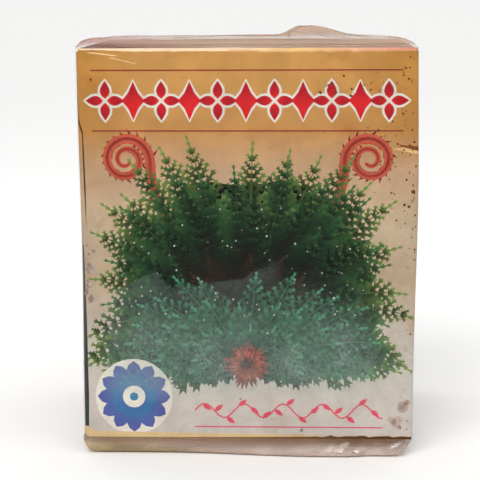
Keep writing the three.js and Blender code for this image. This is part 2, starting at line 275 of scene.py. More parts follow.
def moved(outline, at=(0, 0), turn=0.0, size=1.0):
    c, s = math.cos(turn), math.sin(turn)
    return np.array(outline, float) @ np.array([[c, s], [-s, c]]) * size + np.array(at, float)


def disc(radius, sides):
    angles = 2 * math.pi * np.arange(sides) / sides
    return radius * np.stack([np.cos(angles), np.sin(angles)], 1)


def band(left, right, low, high):
    return [(left, low), (right, low), (right, high), (left, high)]


def petal(length, width, steps=5, fullest=0.8, roundness=1.0):
    """A leaf from the origin along +Y. It is fuller towards its tip the larger `fullest` is, and its tip is
    blunter the smaller `roundness` is."""
    t = np.linspace(0, 1, steps + 1)[1:-1]
    side = width / 2 * np.sin(math.pi * t ** fullest) ** roundness
    right = np.stack([side, length * t], 1)
    left = np.stack([-side, length * t], 1)[::-1]
    return np.concatenate([[(0, 0)], right, [(0, length)], left])


LOBES = 3  # to a side of a leaflet
LOBE = ((0.34, 0.3), (1.0, 1.02), (0.34, 0.86))  # its outline: how far out and how far along


def lobed_leaf(length, width):
    """A leaflet from the origin along +Y, with its edge cut into forward-pointing lobes."""
    right = []
    for k in range(LOBES):
        wide = width / 2 * (1 - (k / LOBES) ** 1.5) ** 0.6
        for out, along in LOBE:
            right.append((out * wide, length * (k + along) / (LOBES + 0.3)))
    left = [(-x, y) for x, y in right[::-1]]
    return np.array([(0, 0)] + right + [(0, length)] + left)


def leaf_shape(leaf, length, at, turn, inner, outer):
    """A leaf moved into place, with its colour running from its root to its tip."""
    return shape(moved(leaf, at, turn), inner, outer, at, moved([(0, length)], at, turn)[0])


def curve_points(root, bend, tip, count):
    t = np.linspace(0, 1, count)[:, None]
    root, bend, tip = (np.array(p, float) for p in (root, bend, tip))
    return (1 - t) ** 2 * root + 2 * t * (1 - t) * bend + t * t * tip


def ribbon(line, widths):
    """A strip along a line of points, with a width at each."""
    along = unit(np.gradient(line, axis=0))
    out = np.stack([along[:, 1], -along[:, 0]], 1) * np.array(widths)[:, None] / 2
    return np.concatenate([line + out, (line - out)[::-1]])


# ---------- the print's colours ----------

HEART = srgb(24, 16, 12)
HEART_LIGHT = srgb(58, 40, 31)
FERN_BLACK = srgb(4, 6, 4)
FERN_DARK = srgb(6, 18, 10)
FERN_DEEP = srgb(10, 30, 18)
FERN_MID = srgb(20, 52, 32)
FERN_LIGHT = srgb(54, 98, 54)
FERN_YELLOW = srgb(104, 130, 62)
FERN_TEAL = srgb(70, 130, 98)
RUST_DARK = srgb(62, 24, 24)
RUST = srgb(138, 48, 40)
RUST_LIGHT = srgb(186, 84, 62)
RED = srgb(206, 34, 38)
RED_DEEP = srgb(168, 26, 36)
PALE = srgb(214, 208, 196)
PINK_RED = srgb(206, 76, 96)
VIOLET = srgb(84, 84, 148)
BLUE = srgb(44, 112, 152)
GOLD = srgb(206, 178, 132)
CREAM = srgb(222, 210, 190)
BOARD_GREY = srgb(168, 150, 130)
BOARD_CUT = srgb(196, 172, 142)
FLAP_CREAM = srgb(206, 182, 150)

# Marks of wear and dirt, and of painted shade and painted highlights.
# Painted shade: the dark of an open slit down the crushed corner.
PAINTED_SLIT_SHADE, PAINTED_SLIT_SHADE_DEEP = srgb(72, 82, 84), srgb(52, 58, 60)
# Painted shade: the dark line of the crushed corner's crease.
CRUSHED_CREASE_SHADE = srgb(62, 40, 18)
DIRT = srgb(88, 52, 28)
SMUDGE, SMUDGE_EDGE = srgb(152, 132, 120), srgb(176, 158, 146)
# The rubbed top edge's bare board, also a painted highlight along the edge, and that highlight's fade below
# it.
BARE_EDGE_HIGHLIGHT = srgb(248, 216, 180)
EDGE_HIGHLIGHT_FADE = srgb(206, 158, 100)
# Painted highlights of creases in the film at the upper left.
CREASE_HIGHLIGHT, FAINT_CREASE_HIGHLIGHT = srgb(236, 204, 162), srgb(222, 188, 142)
# A dent's brown scuff, deepened with painted shade, and a painted highlight below it.
DENT, DENT_SHADE, DENT_HIGHLIGHT = srgb(150, 84, 42), srgb(104, 56, 22), srgb(214, 178, 122)
WORN_FOOT = srgb(192, 178, 166)
# Painted shadow under the front's lower edge.
FOOT_SHADOW_LINE, FOOT_SHADOW_DEEP = srgb(136, 98, 62), srgb(84, 50, 22)

# The ground fades from tan at the top to a greyish rose at the foot: height above the floor, colour.
GROUND = (
    (6.0, srgb(190, 181, 173)),
    (26.0, srgb(187, 176, 165)),
    (41.0, srgb(171, 150, 124)),
    (52.0, srgb(182, 162, 136)),
    (66.0, srgb(184, 151, 119)),
    (75.0, srgb(184, 134, 78)),
    (87.0, srgb(192, 142, 79)),
)
AGED = np.array([0.86, 0.8, 0.6])  # how much of each primary is left in the upper part next to a crease
AGED_RUN = 9.0


def ground(points):
    """The ground's colour at each distance along the walls and height."""
    s, z = points.T
    heights = [h for h, _ in GROUND]
    levels = np.array([c for _, c in GROUND])
    colour = np.stack([np.interp(z, heights, levels[:, k]) for k in range(3)], 1)
    to_crease = np.min([np.abs(s - corner) for corner in CORNERS], axis=0)
    aged = bell(to_crease / AGED_RUN) * smoothstep(z, 60, 82)
    return colour * mix(1, AGED, aged[:, None])


# ---------- the print's motifs ----------

FAN_FULLNESS = 0.72  # a fan's outline is an oval at 1, and fuller-cornered below

CROZIER_FOOT = (6, 40)  # of the right one
CROZIER_COIL = (27.0, 68.4)
CROZIER_RADIUS = 5.4
CROZIER_TURNS = 1.9

RIM = 0.55  # the pale rim round the garland's parts, as cut-paper ornament has
# A lozenge with hollow sides, one unit high.
LOZENGE = ((0, 0.5), (0.13, 0.2), (0.3, 0), (0.13, -0.2), (0, -0.5), (-0.13, -0.2), (-0.3, 0), (-0.13, 0.2))
RULE = 0.32  # a fine rule's width

# The nest's rings of blades: size, count, colours at the root and the tip.
NEST_RINGS = (
    (1.0, 34, RUST_DARK, RUST),
    (0.74, 26, HEART, RUST_LIGHT),
    (0.45, 16, HEART, RUST),
)


def heading(step):
    return math.atan2(step[1], step[0])


def fern_frond(root, bend, tip, leaf, tones, rng, gap=1.8):
    """A feathered frond: leaflets in pairs along a curved rib, dark at the root and bright at the tips.
    leaf is the length of the longest leaflets, gap the distance between two pairs."""
    dark, mid, bright = tones
    pairs = max(5, int(np.linalg.norm(np.array(tip) - np.array(root)) / gap))
    line = curve_points(root, bend, tip, pairs + 2)
    along = np.gradient(line, axis=0)
    shapes = []
    for i in range(1, pairs + 1):
        t = i / (pairs + 1)
        long = leaf * min(1.0, 0.4 + 2.6 * t) * (1 - t) ** 0.6 * rng.uniform(0.86, 1.1)
        leaflet = lobed_leaf(long, 0.58 * long ** 0.8 + 0.6)
        for side in (-1, 1):
            slant = heading(along[i]) - math.pi / 2 - side * mix(1.15, 0.7, t) + rng.uniform(-0.08, 0.08)
            inner = mix(dark, mid, t) * rng.uniform(0.4, 1.1)
            outer = mix(mid, bright, 0.1 + 0.9 * t ** 1.4) * rng.uniform(0.55, 1.35)
            shapes.append(leaf_shape(leaflet, long, line[i], slant, inner, outer))
    rib = ribbon(line, np.linspace(0.6, 0.2, len(line)))
    shapes.append(shape(rib, mix(dark, mid, 0.5), mix(mid, bright, 0.5), root, tip))
    end_leaf = moved(lobed_leaf(0.3 * leaf + 1.2, 1.3), line[-2], heading(along[-1]) - math.pi / 2)
    shapes.append(shape(end_leaf, mid, bright, end_leaf[0], tip))
    return shapes


def fan_point(root, reaches, angle, share):
    """The place at a share of a fan's reach, at an angle from straight up. The reaches are sideways, up
    and down."""
    reach_x, reach_up, reach_down = reaches
    sideways, upwards = (
        math.copysign(abs(k) ** FAN_FULLNESS, k) for k in (math.sin(angle), math.cos(angle))
    )
    reach_z = reach_up if upwards > 0 else reach_down
    return np.array(root) + share * np.array([reach_x * sideways, upwards * reach_z])


def fern_fan(root, reaches, layers, rng):
    """Fronds fanned out to both sides of an upright one, in layers from the back to the front."""
    shapes = []
    for count, widest, size, leaf, gap, tones in layers:
        order = sorted(range(-count, count + 1), key=lambda k: -abs(k))
        for k in order:
            angle = widest * k / count + rng.uniform(-0.05, 0.05)
            reach = size * rng.uniform(0.92, 1.03)
            tip = fan_point(root, reaches, angle, reach)
            bend = fan_point(root, reaches, 0.75 * angle, 0.58 * reach)
            shapes += fern_frond(root, bend, tip, leaf, tones, rng, gap)
    return shapes


def crozier(side, rng):
    """A young frond still rolled up: a stem that ends in a coil, with chaffy scales along its back."""
    foot, coil_centre = (np.array([side * x, z], float) for x, z in (CROZIER_FOOT, CROZIER_COIL))
    angles = np.linspace(0, 2 * math.pi * CROZIER_TURNS, 40)
    radii = CROZIER_RADIUS * (1 - 0.82 * angles / angles[-1])
    around = math.pi / 2 * (1 + side) - side * angles
    coil = coil_centre + radii[:, None] * np.stack([np.cos(around), np.sin(around)], 1)
    bend = np.array([coil[0][0], mix(foot[1], coil[0][1], 0.45)])
    stem = curve_points(foot, bend, coil[0], 12)[:-1]
    line = np.concatenate([stem, coil])
    widths = np.concatenate([np.linspace(1.3, 2.3, len(stem)), np.linspace(2.3, 0.8, len(coil))])
    along = np.gradient(line, axis=0)
    shapes = []
    for i in range(3, len(line) - 16):
        for lean in (0.75, -0.75):
            slant = heading(along[i]) - math.pi / 2 + lean * side
            scale = moved(petal(rng.uniform(1.3, 2.3) * widths[i] / 1.6, 0.55), line[i], slant)
            shapes.append(shape(scale, RUST_DARK, RUST, line[i], line[i] + 1.5 * along[i]))
    shapes.append(shape(ribbon(line, widths), RUST_DARK, RUST_LIGHT, foot, coil_centre))
    shapes.append(shape(ribbon(line[4:], widths[4:] * 0.34), RUST_LIGHT, RUST, foot, coil_centre))
    return shapes


def rosette(at, petals, length, width, inner, outer, turn=0.0):
    """A daisy of round-ended petals."""
    leaf = petal(length, width, 9, 1.6, 0.55)
    turns = [turn + 2 * math.pi * k / petals for k in range(petals)]
    return [leaf_shape(leaf, length, at, angle, inner, outer) for angle in turns]


def nest(at, radius, rng):
    """A ball of dry, curled fronds: rings of narrow blades, dark inside."""
    shapes = []
    for size, blades, dark, light in NEST_RINGS:
        for k in range(blades):
            turn = 2 * math.pi * (k + rng.uniform(-0.3, 0.3)) / blades
            long = size * radius * rng.uniform(0.8, 1.08)
            inner, outer = dark * rng.uniform(0.7, 1.2), light * rng.uniform(0.6, 1.15)
            shapes.append(leaf_shape(petal(long, 0.24 * radius * size), long, at, turn, inner, outer))
    return shapes


def rimmed(outline, at, turn):
    """One of the garland's parts: a pale shape, and a red one that leaves a rim of it."""
    middle = outline.mean(0)
    out = outline - middle
    reach = np.linalg.norm(out, axis=1)[:, None]
    wide = middle + out * (1 + RIM / reach)
    return shape(moved(wide, at, turn), PALE), leaf_shape(outline, 2, at, turn, RED, RED_DEEP)


def garland(half, z, unit_length, height):
    """A straight band of lozenges and leaf crosses between two fine rules, from -half to half."""
    count = round(2 * half / unit_length)
    step = 2 * half / count
    leaf = petal(0.46 * height, 0.26 * height)
    parts = []
    for i in range(count):
        at = (-half + (i + 0.5) * step, z)
        if i % 2:
            parts.append(rimmed(moved(LOZENGE, size=height), at, 0.0))
            continue
        for quarter in range(4):
            turn = quarter * math.pi / 2
            parts.append(rimmed(leaf, moved([(0, 0.05 * height)], at, turn)[0], turn))
    rules = [z + offset * height for offset in (-0.78, 0.78)]
    shapes = [rim for rim, _ in parts] + [fill for _, fill in parts]
    return shapes + [shape(band(-half, half, y - RULE / 2, y + RULE / 2), RUST) for y in rules]


def vine(left, right, z, height):
    """A wavy stem with small leaves along it."""
    x = np.linspace(left, right, 48)
    wave = 2 * math.pi / 9.0
    line = np.stack([x, z + 0.3 * height * np.sin(wave * (x - left))], 1)
    shapes = [shape(ribbon(line, np.full(len(x), 0.34)), PINK_RED)]
    for i in range(2, len(x) - 2, 3):
        turn = -0.9 if (i // 3) % 2 else math.pi + 0.9
        shapes.append(shape(moved(petal(0.44 * height, 0.2 * height), line[i], turn), PINK_RED))
    return shapes


def glints(at, reach_x, reach_z, count, rng):
    """Tiny pale spots scattered over an oval."""
    shapes = []
    for _ in range(count):
        turn, out = rng.uniform(0, 2 * math.pi), math.sqrt(rng.random())
        spot = (at[0] + reach_x * out * math.cos(turn), at[1] + reach_z * out * math.sin(turn))
        shapes.append(shape(moved(disc(rng.uniform(0.12, 0.24), 5), spot), PALE * rng.uniform(0.4, 0.9)))
    return shapes


def specks(places, rng, colour):
    """Small irregular spots: (x, z, radius)."""
    shapes = []
    for x, z, radius in places:
        outline = disc(radius, 9) * rng.uniform(0.55, 0.95)
        outline *= np.array([[rng.uniform(0.65, 1.3)] for _ in range(9)])
        shapes.append(shape(moved(outline, (x, z), rng.uniform(0, 3)), colour * rng.uniform(0.8, 1.1)))
    return shapes


def streak(points, colour, deep=None):
    """A mark whose outline is given as (x, z) points. Its colour runs from the first to the middle one."""
    return shape(points, colour, deep, points[0], points[len(points) // 2])


# ---------- painted sheets ----------

SMALLEST_MARK = 0.12  # what shows of a shape in a tile is left out where it is smaller than this
STRAIGHT = 0.02  # a bend flatter than this is taken out
WELD = 1e-4
TILE = 9.0


def clipped(a, b, low, high):
    """The parts inside a rectangle of many lines, which run from the points a to the points b."""
    first, last = np.zeros(len(a)), np.ones(len(a))
    for k in (0, 1):
        run = b[:, k] - a[:, k]
        for bound, sign in ((low[k], 1), (high[k], -1)):
            into, room = sign * run, sign * (a[:, k] - bound)
            still = np.abs(into) < 1e-12
            cut = -room / np.where(still, 1.0, into)
            first = np.where(~still & (into > 0), np.maximum(first, cut), first)
            last = np.where(~still & (into < 0), np.minimum(last, cut), last)
            last = np.where(still & (room < 0), -1.0, last)
    inside = last - first > 1e-9
    a, b, first, last = a[inside], b[inside], first[inside, None], last[inside, None]
    return mix(a, b, first), mix(a, b, last)


def covers(outline, points):
    """Which of the points lie inside an outline."""
    inside = np.zeros(len(points), bool)
    low, high = outline.min(0), outline.max(0)
    x, y = points.T
    near = np.flatnonzero((x >= low[0]) & (x <= high[0]) & (y >= low[1]) & (y <= high[1]))
    a, b = outline[:, :, None], np.roll(outline, -1, 0)[:, :, None]
    x, y = x[near], y[near]
    crosses = (a[:, 1] > y) != (b[:, 1] > y)
    rise = np.where(a[:, 1] == b[:, 1], 1.0, b[:, 1] - a[:, 1])
    left_of = x < a[:, 0] + (y - a[:, 1]) * (b[:, 0] - a[:, 0]) / rise
    inside[near] = (crosses & left_of).sum(0) % 2 == 1
    return inside


def topmost(points, shapes, numbers):
    """The last drawn of the numbered shapes over each point, or -1 for the ground."""
    owner = np.full(len(points), -1)
    bare = np.arange(len(points))
    for number in reversed(numbers):
        inside = covers(shapes[number]["outline"], points[bare])
        owner[bare[inside]] = number
        bare = bare[~inside]
    return owner


def triangulated(points, edges):
    """Triangles between the points that keep to the edges."""
    found = delaunay_2d_cdt([Vector(p) for p in points], edges, [], 0, WELD, False)
    return np.array([tuple(p) for p in found[0]]), np.array(found[2])


def sides_of(triangles):
    return np.concatenate([triangles[:, [0, 1]], triangles[:, [1, 2]], triangles[:, [2, 0]]])


def seen_edges(triangles, owner):
    """The edges between triangles that belong to different shapes."""
    edges, owners = np.sort(sides_of(triangles), axis=1), np.tile(owner, 3)
    order = np.lexsort((edges[:, 1], edges[:, 0]))
    edges, owners = edges[order], owners[order]
    twin = (edges[1:] == edges[:-1]).all(1)
    return edges[1:][twin & (owners[1:] != owners[:-1])]


def outer_edges(triangles):
    """The edges that only one triangle has, in its own direction."""
    edges = sides_of(triangles)
    _, kind, count = np.unique(np.sort(edges, axis=1), axis=0, return_inverse=True, return_counts=True)
    return edges[count[kind.ravel()] == 1]


def straightened(points, edges):
    """Joins edges end to end where they run straight on through a point that nothing else meets."""
    joins = {}
    for a, b in edges.tolist():
        joins.setdefault(a, set()).add(b)
        joins.setdefault(b, set()).add(a)
    for middle in list(joins):
        if len(joins[middle]) != 2:
            continue
        a, b = joins[middle]
        before, after = points[middle] - points[a], points[b] - points[middle]
        bend = abs(before[0] * after[1] - before[1] * after[0])
        if b in joins[a] or before @ after <= 0 or bend > STRAIGHT * np.linalg.norm(points[b] - points[a]):
            continue
        del joins[middle]
        joins[a].remove(middle)
        joins[b].remove(middle)
        joins[a].add(b)
        joins[b].add(a)
    return [(a, b) for a in joins for b in joins[a] if a < b]


def tile_grid(low, high, lines):
    """A rectangle's own points, where the lines cross it, and the edges that join them."""
    us, vs = ([low[k]] + [x for x in lines[k] if low[k] < x < high[k]] + [high[k]] for k in (0, 1))
    wide, count = len(us), len(us) * len(vs)
    edges = [(i, i + 1) for i in range(wide - 1)] + [(i, i + 1) for i in range(count - wide, count - 1)]
    edges += [(i, i + wide) for i in range(count - wide)]
    return np.array([(u, v) for v in vs for u in us]), edges


def tile_triangles(low, high, shapes, boxes, lines):
    """Splits one rectangle into triangles along all that shows of the shapes' outlines in it.
    Gives the points, the triangles and each triangle's topmost shape, or -1 for the ground."""
    grid, grid_edges = tile_grid(low, high, lines)
    count = len(grid)
    here = np.flatnonzero((boxes[:, 1] > low).all(1) & (boxes[:, 0] < high).all(1)) if len(shapes) else []
    if len(here):
        u, v = (np.arange(low[k], high[k], SMALLEST_MARK) for k in (0, 1))
        seen = topmost(np.stack(np.meshgrid(u, v), -1).reshape(-1, 2), shapes, here)
        here = np.unique(seen[seen >= 0])
    parts = [clipped(o, np.roll(o, -1, 0), low, high) for o in (shapes[k]["outline"] for k in here)]
    starts = np.concatenate([grid[:0]] + [a for a, _ in parts])
    ends = np.concatenate([grid[:0]] + [b for _, b in parts])
    edges = [(count + i, count + len(starts) + i) for i in range(len(starts))]
    flat, triangles = triangulated(np.concatenate([grid, starts, ends]), grid_edges + edges)
    if len(here):
        owner = topmost(flat[triangles].mean(1), shapes, here)
        shown = straightened(flat, seen_edges(triangles, owner))
        used = sorted({k for edge in shown for k in edge})
        renumber = {k: count + i for i, k in enumerate(used)}
        shown = [(renumber[a], renumber[b]) for a, b in shown]
        flat, triangles = triangulated(np.concatenate([grid, flat[used]]), grid_edges + shown)
    return flat, triangles, topmost(flat[triangles].mean(1), shapes, here)


def cut_into_tiles(low, high, size):
    counts = [max(1, round((high[k] - low[k]) / size)) for k in (0, 1)]
    us, vs = (np.linspace(low[k], high[k], counts[k] + 1) for k in (0, 1))
    return [((us[i], vs[j]), (us[i + 1], vs[j + 1])) for i in range(counts[0]) for j in range(counts[1])]


def printed_side(panels, shapes, lines, tile):
    """The printed side of a flat sheet: its points, its triangles and each one's topmost shape."""
    boxes = np.array([(s["outline"].min(0), s["outline"].max(0)) for s in shapes])
    points, faces, owners, count = [], [], [], 0
    for panel_low, panel_high in panels:
        for low, high in cut_into_tiles(panel_low, panel_high, tile):
            found, triangles, owner = tile_triangles(low, high, shapes, boxes, lines)
            points.append(found)
            faces.append(triangles + count)
            owners.append(owner)
            count += len(found)
    points = np.concatenate(points)
    _, first, same = np.unique(np.round(points, 3), axis=0, return_index=True, return_inverse=True)
    faces = same.ravel()[np.concatenate(faces)]
    whole = (faces[:, 0] != faces[:, 1]) & (faces[:, 1] != faces[:, 2]) & (faces[:, 2] != faces[:, 0])
    return points[first], faces[whole], np.concatenate(owners)[whole]


def plain_side(flat, faces, panels, lines):
    """The sheet's plain side, with the printed side's rim and fewer points inside it: its points, its
    triangles, and the faces of the cut edge between the two sides."""
    rim_edges = outer_edges(faces)
    rim = np.unique(rim_edges)
    rim_place = np.zeros(len(flat), int)
    rim_place[rim] = np.arange(len(rim))
    coarse = [(u, v) for u in lines[0] for v in lines[1][::2]
              if any(low[0] < u < high[0] and low[1] < v < high[1] for low, high in panels)]
    points = np.concatenate([flat[rim], np.array(coarse).reshape(-1, 2)])
    found = delaunay_2d_cdt([Vector(p) for p in points], rim_place[rim_edges].tolist(), [], 1, WELD, True)
    ids = np.array([min(origins) for origins in found[3]])
    back = ids[np.array(found[2])][:, ::-1] + len(flat)
    a, b = rim_edges.T
    return points, back, np.stack([b, a, rim_place[a] + len(flat), rim_place[b] + len(flat)], 1)


def board_sheet(name, panels, place, shapes, ground_colour, lines, tile=TILE):
    """A sheet of board printed on one side. Panels are rectangles of the flat sheet; place(points, depth)
    folds the flat points into the carton's shape at a depth under the print. lines are where the sheet is
    cut along its length and its width, so that it can bend."""
    flat, faces, owners = printed_side(panels, shapes, lines, tile)
    inner_flat, back, cut_edge = plain_side(flat, faces, panels, lines)
    piece = mesh_piece(
        name, np.concatenate([place(flat, 0.0), place(inner_flat, BOARD)]),
        faces.tolist() + cut_edge.tolist() + back.tolist(), BOARD_MATERIAL, "printed_board", "carton",
    )
    corners = flat[faces]
    printed = ground_colour(corners.reshape(-1, 2)).reshape(-1, 3, 3)
    for number in np.unique(owners[owners >= 0]):
        these = owners == number
        printed[these] = shape_colour(shapes[number], corners[these].reshape(-1, 2)).reshape(-1, 3, 3)
    colours = np.concatenate([
        printed.reshape(-1, 3),
        np.tile(BOARD_CUT, (4 * len(cut_edge), 1)),
        np.tile(BOARD_GREY, (3 * len(back), 1)),
    ])
    ink = piece.data.color_attributes.new("ink", "FLOAT_COLOR", "CORNER")
    ink.data.foreach_set("color", np.insert(colours, 3, 1.0, axis=1).astype(np.float32).ravel())


# ---------- the carton's walls ----------

def wall_outline():
    """The walls' outline seen from above, from the back left corner round the left, the front, the right
    and the back: distance along it, place and outward direction. Then where each corner's middle lies
    along it, and where each flat wall starts and ends."""
    x, y, r, big = BOARD_X, BOARD_Y, CORNER, CRUSHED_CORNER
    arcs = (
        ((-x + r, y - r), r, 0.8 * math.pi, math.pi, 4),
        ((-x + big, -y + big), big, math.pi, 1.5 * math.pi, 10),
        ((x - r, -y + r), r, 1.5 * math.pi, 2 * math.pi, 6),
        ((x - r, y - r), r, 0, 0.5 * math.pi, 6),
    )
    places, directions, starts, middles, ends = [], [], [], [], []
    for centre, radius, first, last, steps in arcs:
        angles = np.linspace(first, last, steps + 1)
        out = np.stack([np.cos(angles), np.sin(angles)], 1)
        starts.append(len(places))
        middles.append(len(places) + steps // 2)
        ends.append(len(places) + steps)
        places += list(np.array(centre) + radius * out)
        directions += list(out)
    starts.append(len(places))
    places.append(np.array([-x + BACK_GAP, y]))
    directions.append(np.array([0.0, 1.0]))
    along = distances(np.array(places))
    walls = list(zip(along[ends], along[starts[1:]]))
    return along, np.array(places), np.array(directions), along[middles], walls


ALONG, WALL_PLACES, WALL_OUT, CORNERS, FLAT_WALLS = wall_outline()
LEFT_MIDDLE, _, RIGHT_MIDDLE, BACK_MIDDLE = ((start + end) / 2 for start, end in FLAT_WALLS)
FRONT_MIDDLE = float(np.interp(0.0, (CRUSHED_CORNER - BOARD_X, BOARD_X - CORNER), FLAT_WALLS[1]))


def place_wall(flat, depth):
    s = flat[:, 0]
    x, y = (
        np.interp(s, ALONG, WALL_PLACES[:, k]) - depth * np.interp(s, ALONG, WALL_OUT[:, k]) for k in (0, 1)
    )
    return bowed(np.stack([x, y, flat[:, 1]], 1))


# The fans' layers from the back to the front: fronds to a side, angle of the outermost, size, length of
# the leaflets, gap between them, and tones.
FAN = (
    (11, 2.1, 1.0, 12.0, 2.3, (FERN_DARK, FERN_DEEP, FERN_YELLOW)),
    (10, 2.05, 0.88, 12.0, 2.3, (FERN_BLACK, FERN_DARK, FERN_LIGHT)),
    (6, 2.0, 0.76, 9.5, 2.4, (HEART, FERN_BLACK, FERN_MID)),
    (5, 1.9, 0.62, 8.5, 2.4, (HEART, HEART, FERN_DEEP)),
    (5, 1.8, 0.48, 7.5, 2.4, (HEART, HEART, HEART_LIGHT)),
)
LOW_FAN = (
    (8, 1.9, 1.0, 7.5, 2.2, (FERN_BLACK, FERN_DEEP, FERN_TEAL)),
    (7, 1.8, 0.72, 7.0, 2.2, (FERN_BLACK, FERN_MID, FERN_TEAL)),
    (5, 1.7, 0.45, 6.0, 2.2, (FERN_BLACK, FERN_DARK, FERN_TEAL)),
)
FAN_ROOT, FAN_REACHES = (0, 24), (36.6, 48.5, 6.0)
LOW_FAN_ROOT, LOW_FAN_REACHES = (0, 20), (29.0, 22.0, 2.5)
MEDALLION = (-26.0, 13.8)
VINE_LEFT, VINE_RIGHT = -12.0, 31.0


def fan_shade():
    """The dark patch behind the fan."""
    return [
        fan_point(FAN_ROOT, FAN_REACHES, angle, 0.8 + 0.1 * noise.noise((2.6 * angle, 0, 5)))
        for angle in np.linspace(-2.6, 2.6, 90)
    ]


def front_design(rng):
    shapes = crozier(-1, rng) + crozier(1, rng)
    shapes.append(shape(fan_shade(), FERN_BLACK))
    shapes += fern_fan(FAN_ROOT, FAN_REACHES, FAN, rng)
    shapes += fern_fan(LOW_FAN_ROOT, LOW_FAN_REACHES, LOW_FAN, rng)
    shapes += glints(at=(0, 42), reach_x=28, reach_z=22, count=90, rng=rng)
    shapes += nest(at=(0, 21.5), radius=5.6, rng=rng)
    shapes += garland(half=34.5, z=81.6, unit_length=6.27, height=8.6)
    shapes.append(shape(moved(disc(8.9, 30), MEDALLION), PALE))
    shapes += rosette(MEDALLION, petals=12, length=8.4, width=3.5, inner=BLUE, outer=VIOLET)
    shapes += rosette(MEDALLION, 12, length=5.2, width=2.0, inner=VIOLET, outer=BLUE, turn=math.pi / 12)
    shapes.append(shape(moved(disc(2.6, 20), MEDALLION), PALE))
    shapes.append(shape(moved(disc(1.0, 12), MEDALLION), BLUE))
    shapes += vine(VINE_LEFT, VINE_RIGHT, z=10.6, height=5.6)
    shapes.append(shape(band(VINE_LEFT, VINE_RIGHT, 6.6, 6.9), PINK_RED))
    return shapes


def side_design(rng):
    tones = (FERN_DARK, FERN_DEEP, FERN_LIGHT)
    shapes = []
    for x, lean, top in ((-9, -6, 52), (9, 6, 52), (0, 0, 66)):
        shapes += fern_frond((0, 16), (0.2 * x, 36), (x + lean, top), 8.6, tones, rng)
    shapes += garland(half=25.0, z=80.5, unit_length=5.6, height=7.6)
    shapes.append(shape(band(-25.0, 25.0, 11.0, 11.3), PINK_RED))
    return shapes


def back_design(rng):
    tones = (FERN_DARK, FERN_MID, FERN_LIGHT)
    shapes = garland(half=34.0, z=80.5, unit_length=5.6, height=7.6)
    shapes.append(shape(band(-30, 30, 14, 68), RUST))
    shapes.append(shape(band(-29.6, 29.6, 14.4, 67.6), CREAM))
    for side in (-1, 1):
        shapes += fern_frond((side * 31, 12), (side * 31, 26), (side * 20, 37), 6.0, tones, rng)
        shapes += fern_frond((side * 31, 12), (side * 22, 12), (side * 8, 19), 6.0, tones, rng)
    return shapes + vine(left=-20.0, right=20.0, z=60.0, height=5.0)


# ---------- wear, dirt, painted shade and painted highlights, in the front panel's own measures ---

EDGE_TOP = 93.3  # just over the crease with the lid
EDGE_LEFT, EDGE_SPLIT = -37.6, -4

# From EDGE_SPLIT on, the rubbed crease shows the lid's print, as a painted highlight: distance from the
# middle, and colour.
RUBBED_EDGE_HIGHLIGHT = (
    (EDGE_SPLIT, srgb(244, 210, 176)),
    (12.0, srgb(236, 194, 126)),
    (24.0, srgb(240, 182, 148)),
    (37.4, srgb(230, 146, 124)),
)

# The marks that stand out: x, z, radius.
SPECKS = (
    (36.0, 91.1, 0.3), (34.9, 88.7, 0.25), (32.7, 73.8, 0.28), (35.9, 69.5, 0.3), (30.8, 67.8, 0.2),
    (37.2, 67.0, 0.42), (32.5, 60.8, 0.22), (36.6, 61.3, 0.5), (36.9, 60.9, 0.34), (35.8, 58.0, 0.55),
    (37.2, 56.0, 0.45), (37.3, 53.4, 0.35), (37.2, 45.9, 0.3), (-35.2, 30.5, 0.2), (-33.6, 23.5, 0.2),
    (-34.4, 86.3, 0.3),
)
SMUDGES = (
    (33.6, 8.2, 1.2), (35.4, 11.7, 1.0), (36.3, 12.6, 0.8), (34.8, 6.9, 0.55), (-1.5, 13.4, 0.4),
    (12.5, 6.0, 0.45),
)
HALO = 1.35  # how much wider a smudge's pale edge is


def along_edge(rng, count, edge, spread, heights, radii):
    """Spots that gather at one side edge: (x, z, radius)."""
    inward = -math.copysign(1, edge)
    return [
        (edge + inward * abs(rng.gauss(0, spread)), rng.uniform(*heights), rng.uniform(*radii))
        for _ in range(count)
    ]


def speck_places(rng):
    places = list(SPECKS)
    places += along_edge(rng, 60, 37.0, 6.0, (52, 92), (0.16, 0.34))
    places += along_edge(rng, 34, 37.3, 1.2, (6, 66), (0.12, 0.28))
    places += [(rng.uniform(-34, 34), rng.uniform(62, 91), rng.uniform(0.14, 0.26)) for _ in range(14)]
    places += along_edge(rng, 9, -36.6, 0.7, (35, 50), (0.1, 0.2))
    places += [(rng.uniform(16, 35), 84.4 + rng.gauss(0, 1.3), rng.uniform(0.22, 0.4)) for _ in range(18)]
    return places


def rubbed_edge_highlight():
    """The crease between the front and the lid, rubbed through to the board along a wavy line. Its pale
    colours are also a painted highlight along the edge.
    """
    shapes = []
    line = [(EDGE_SPLIT, EDGE_TOP), (EDGE_LEFT, EDGE_TOP)]
    bare = []
    for x in np.linspace(EDGE_LEFT, EDGE_SPLIT, 30):
        low = mix(92.85, 92.5, float(smoothstep(x, -36, -24)))
        bare.append((x, low - 0.35 * abs(noise.noise((0.35 * x, 0, 3)))))
    shapes.append(streak(bare + line, BARE_EDGE_HIGHLIGHT))
    for low, share in ((92.3, 0.6), (92.62, 0.0)):
        for (left, tone), (right, next_tone) in zip(RUBBED_EDGE_HIGHLIGHT, RUBBED_EDGE_HIGHLIGHT[1:]):
            wavy = [(x, low + 0.3 * noise.noise((0.5 * x, 0, low))) for x in np.linspace(right, left, 9)]
            colours = mix(tone, EDGE_HIGHLIGHT_FADE, share), mix(next_tone, EDGE_HIGHLIGHT_FADE, share)
            outline = [(left, EDGE_TOP), (right, EDGE_TOP)] + wavy
            shapes.append(shape(outline, *colours, (left, 0), (right, 0)))
    return shapes


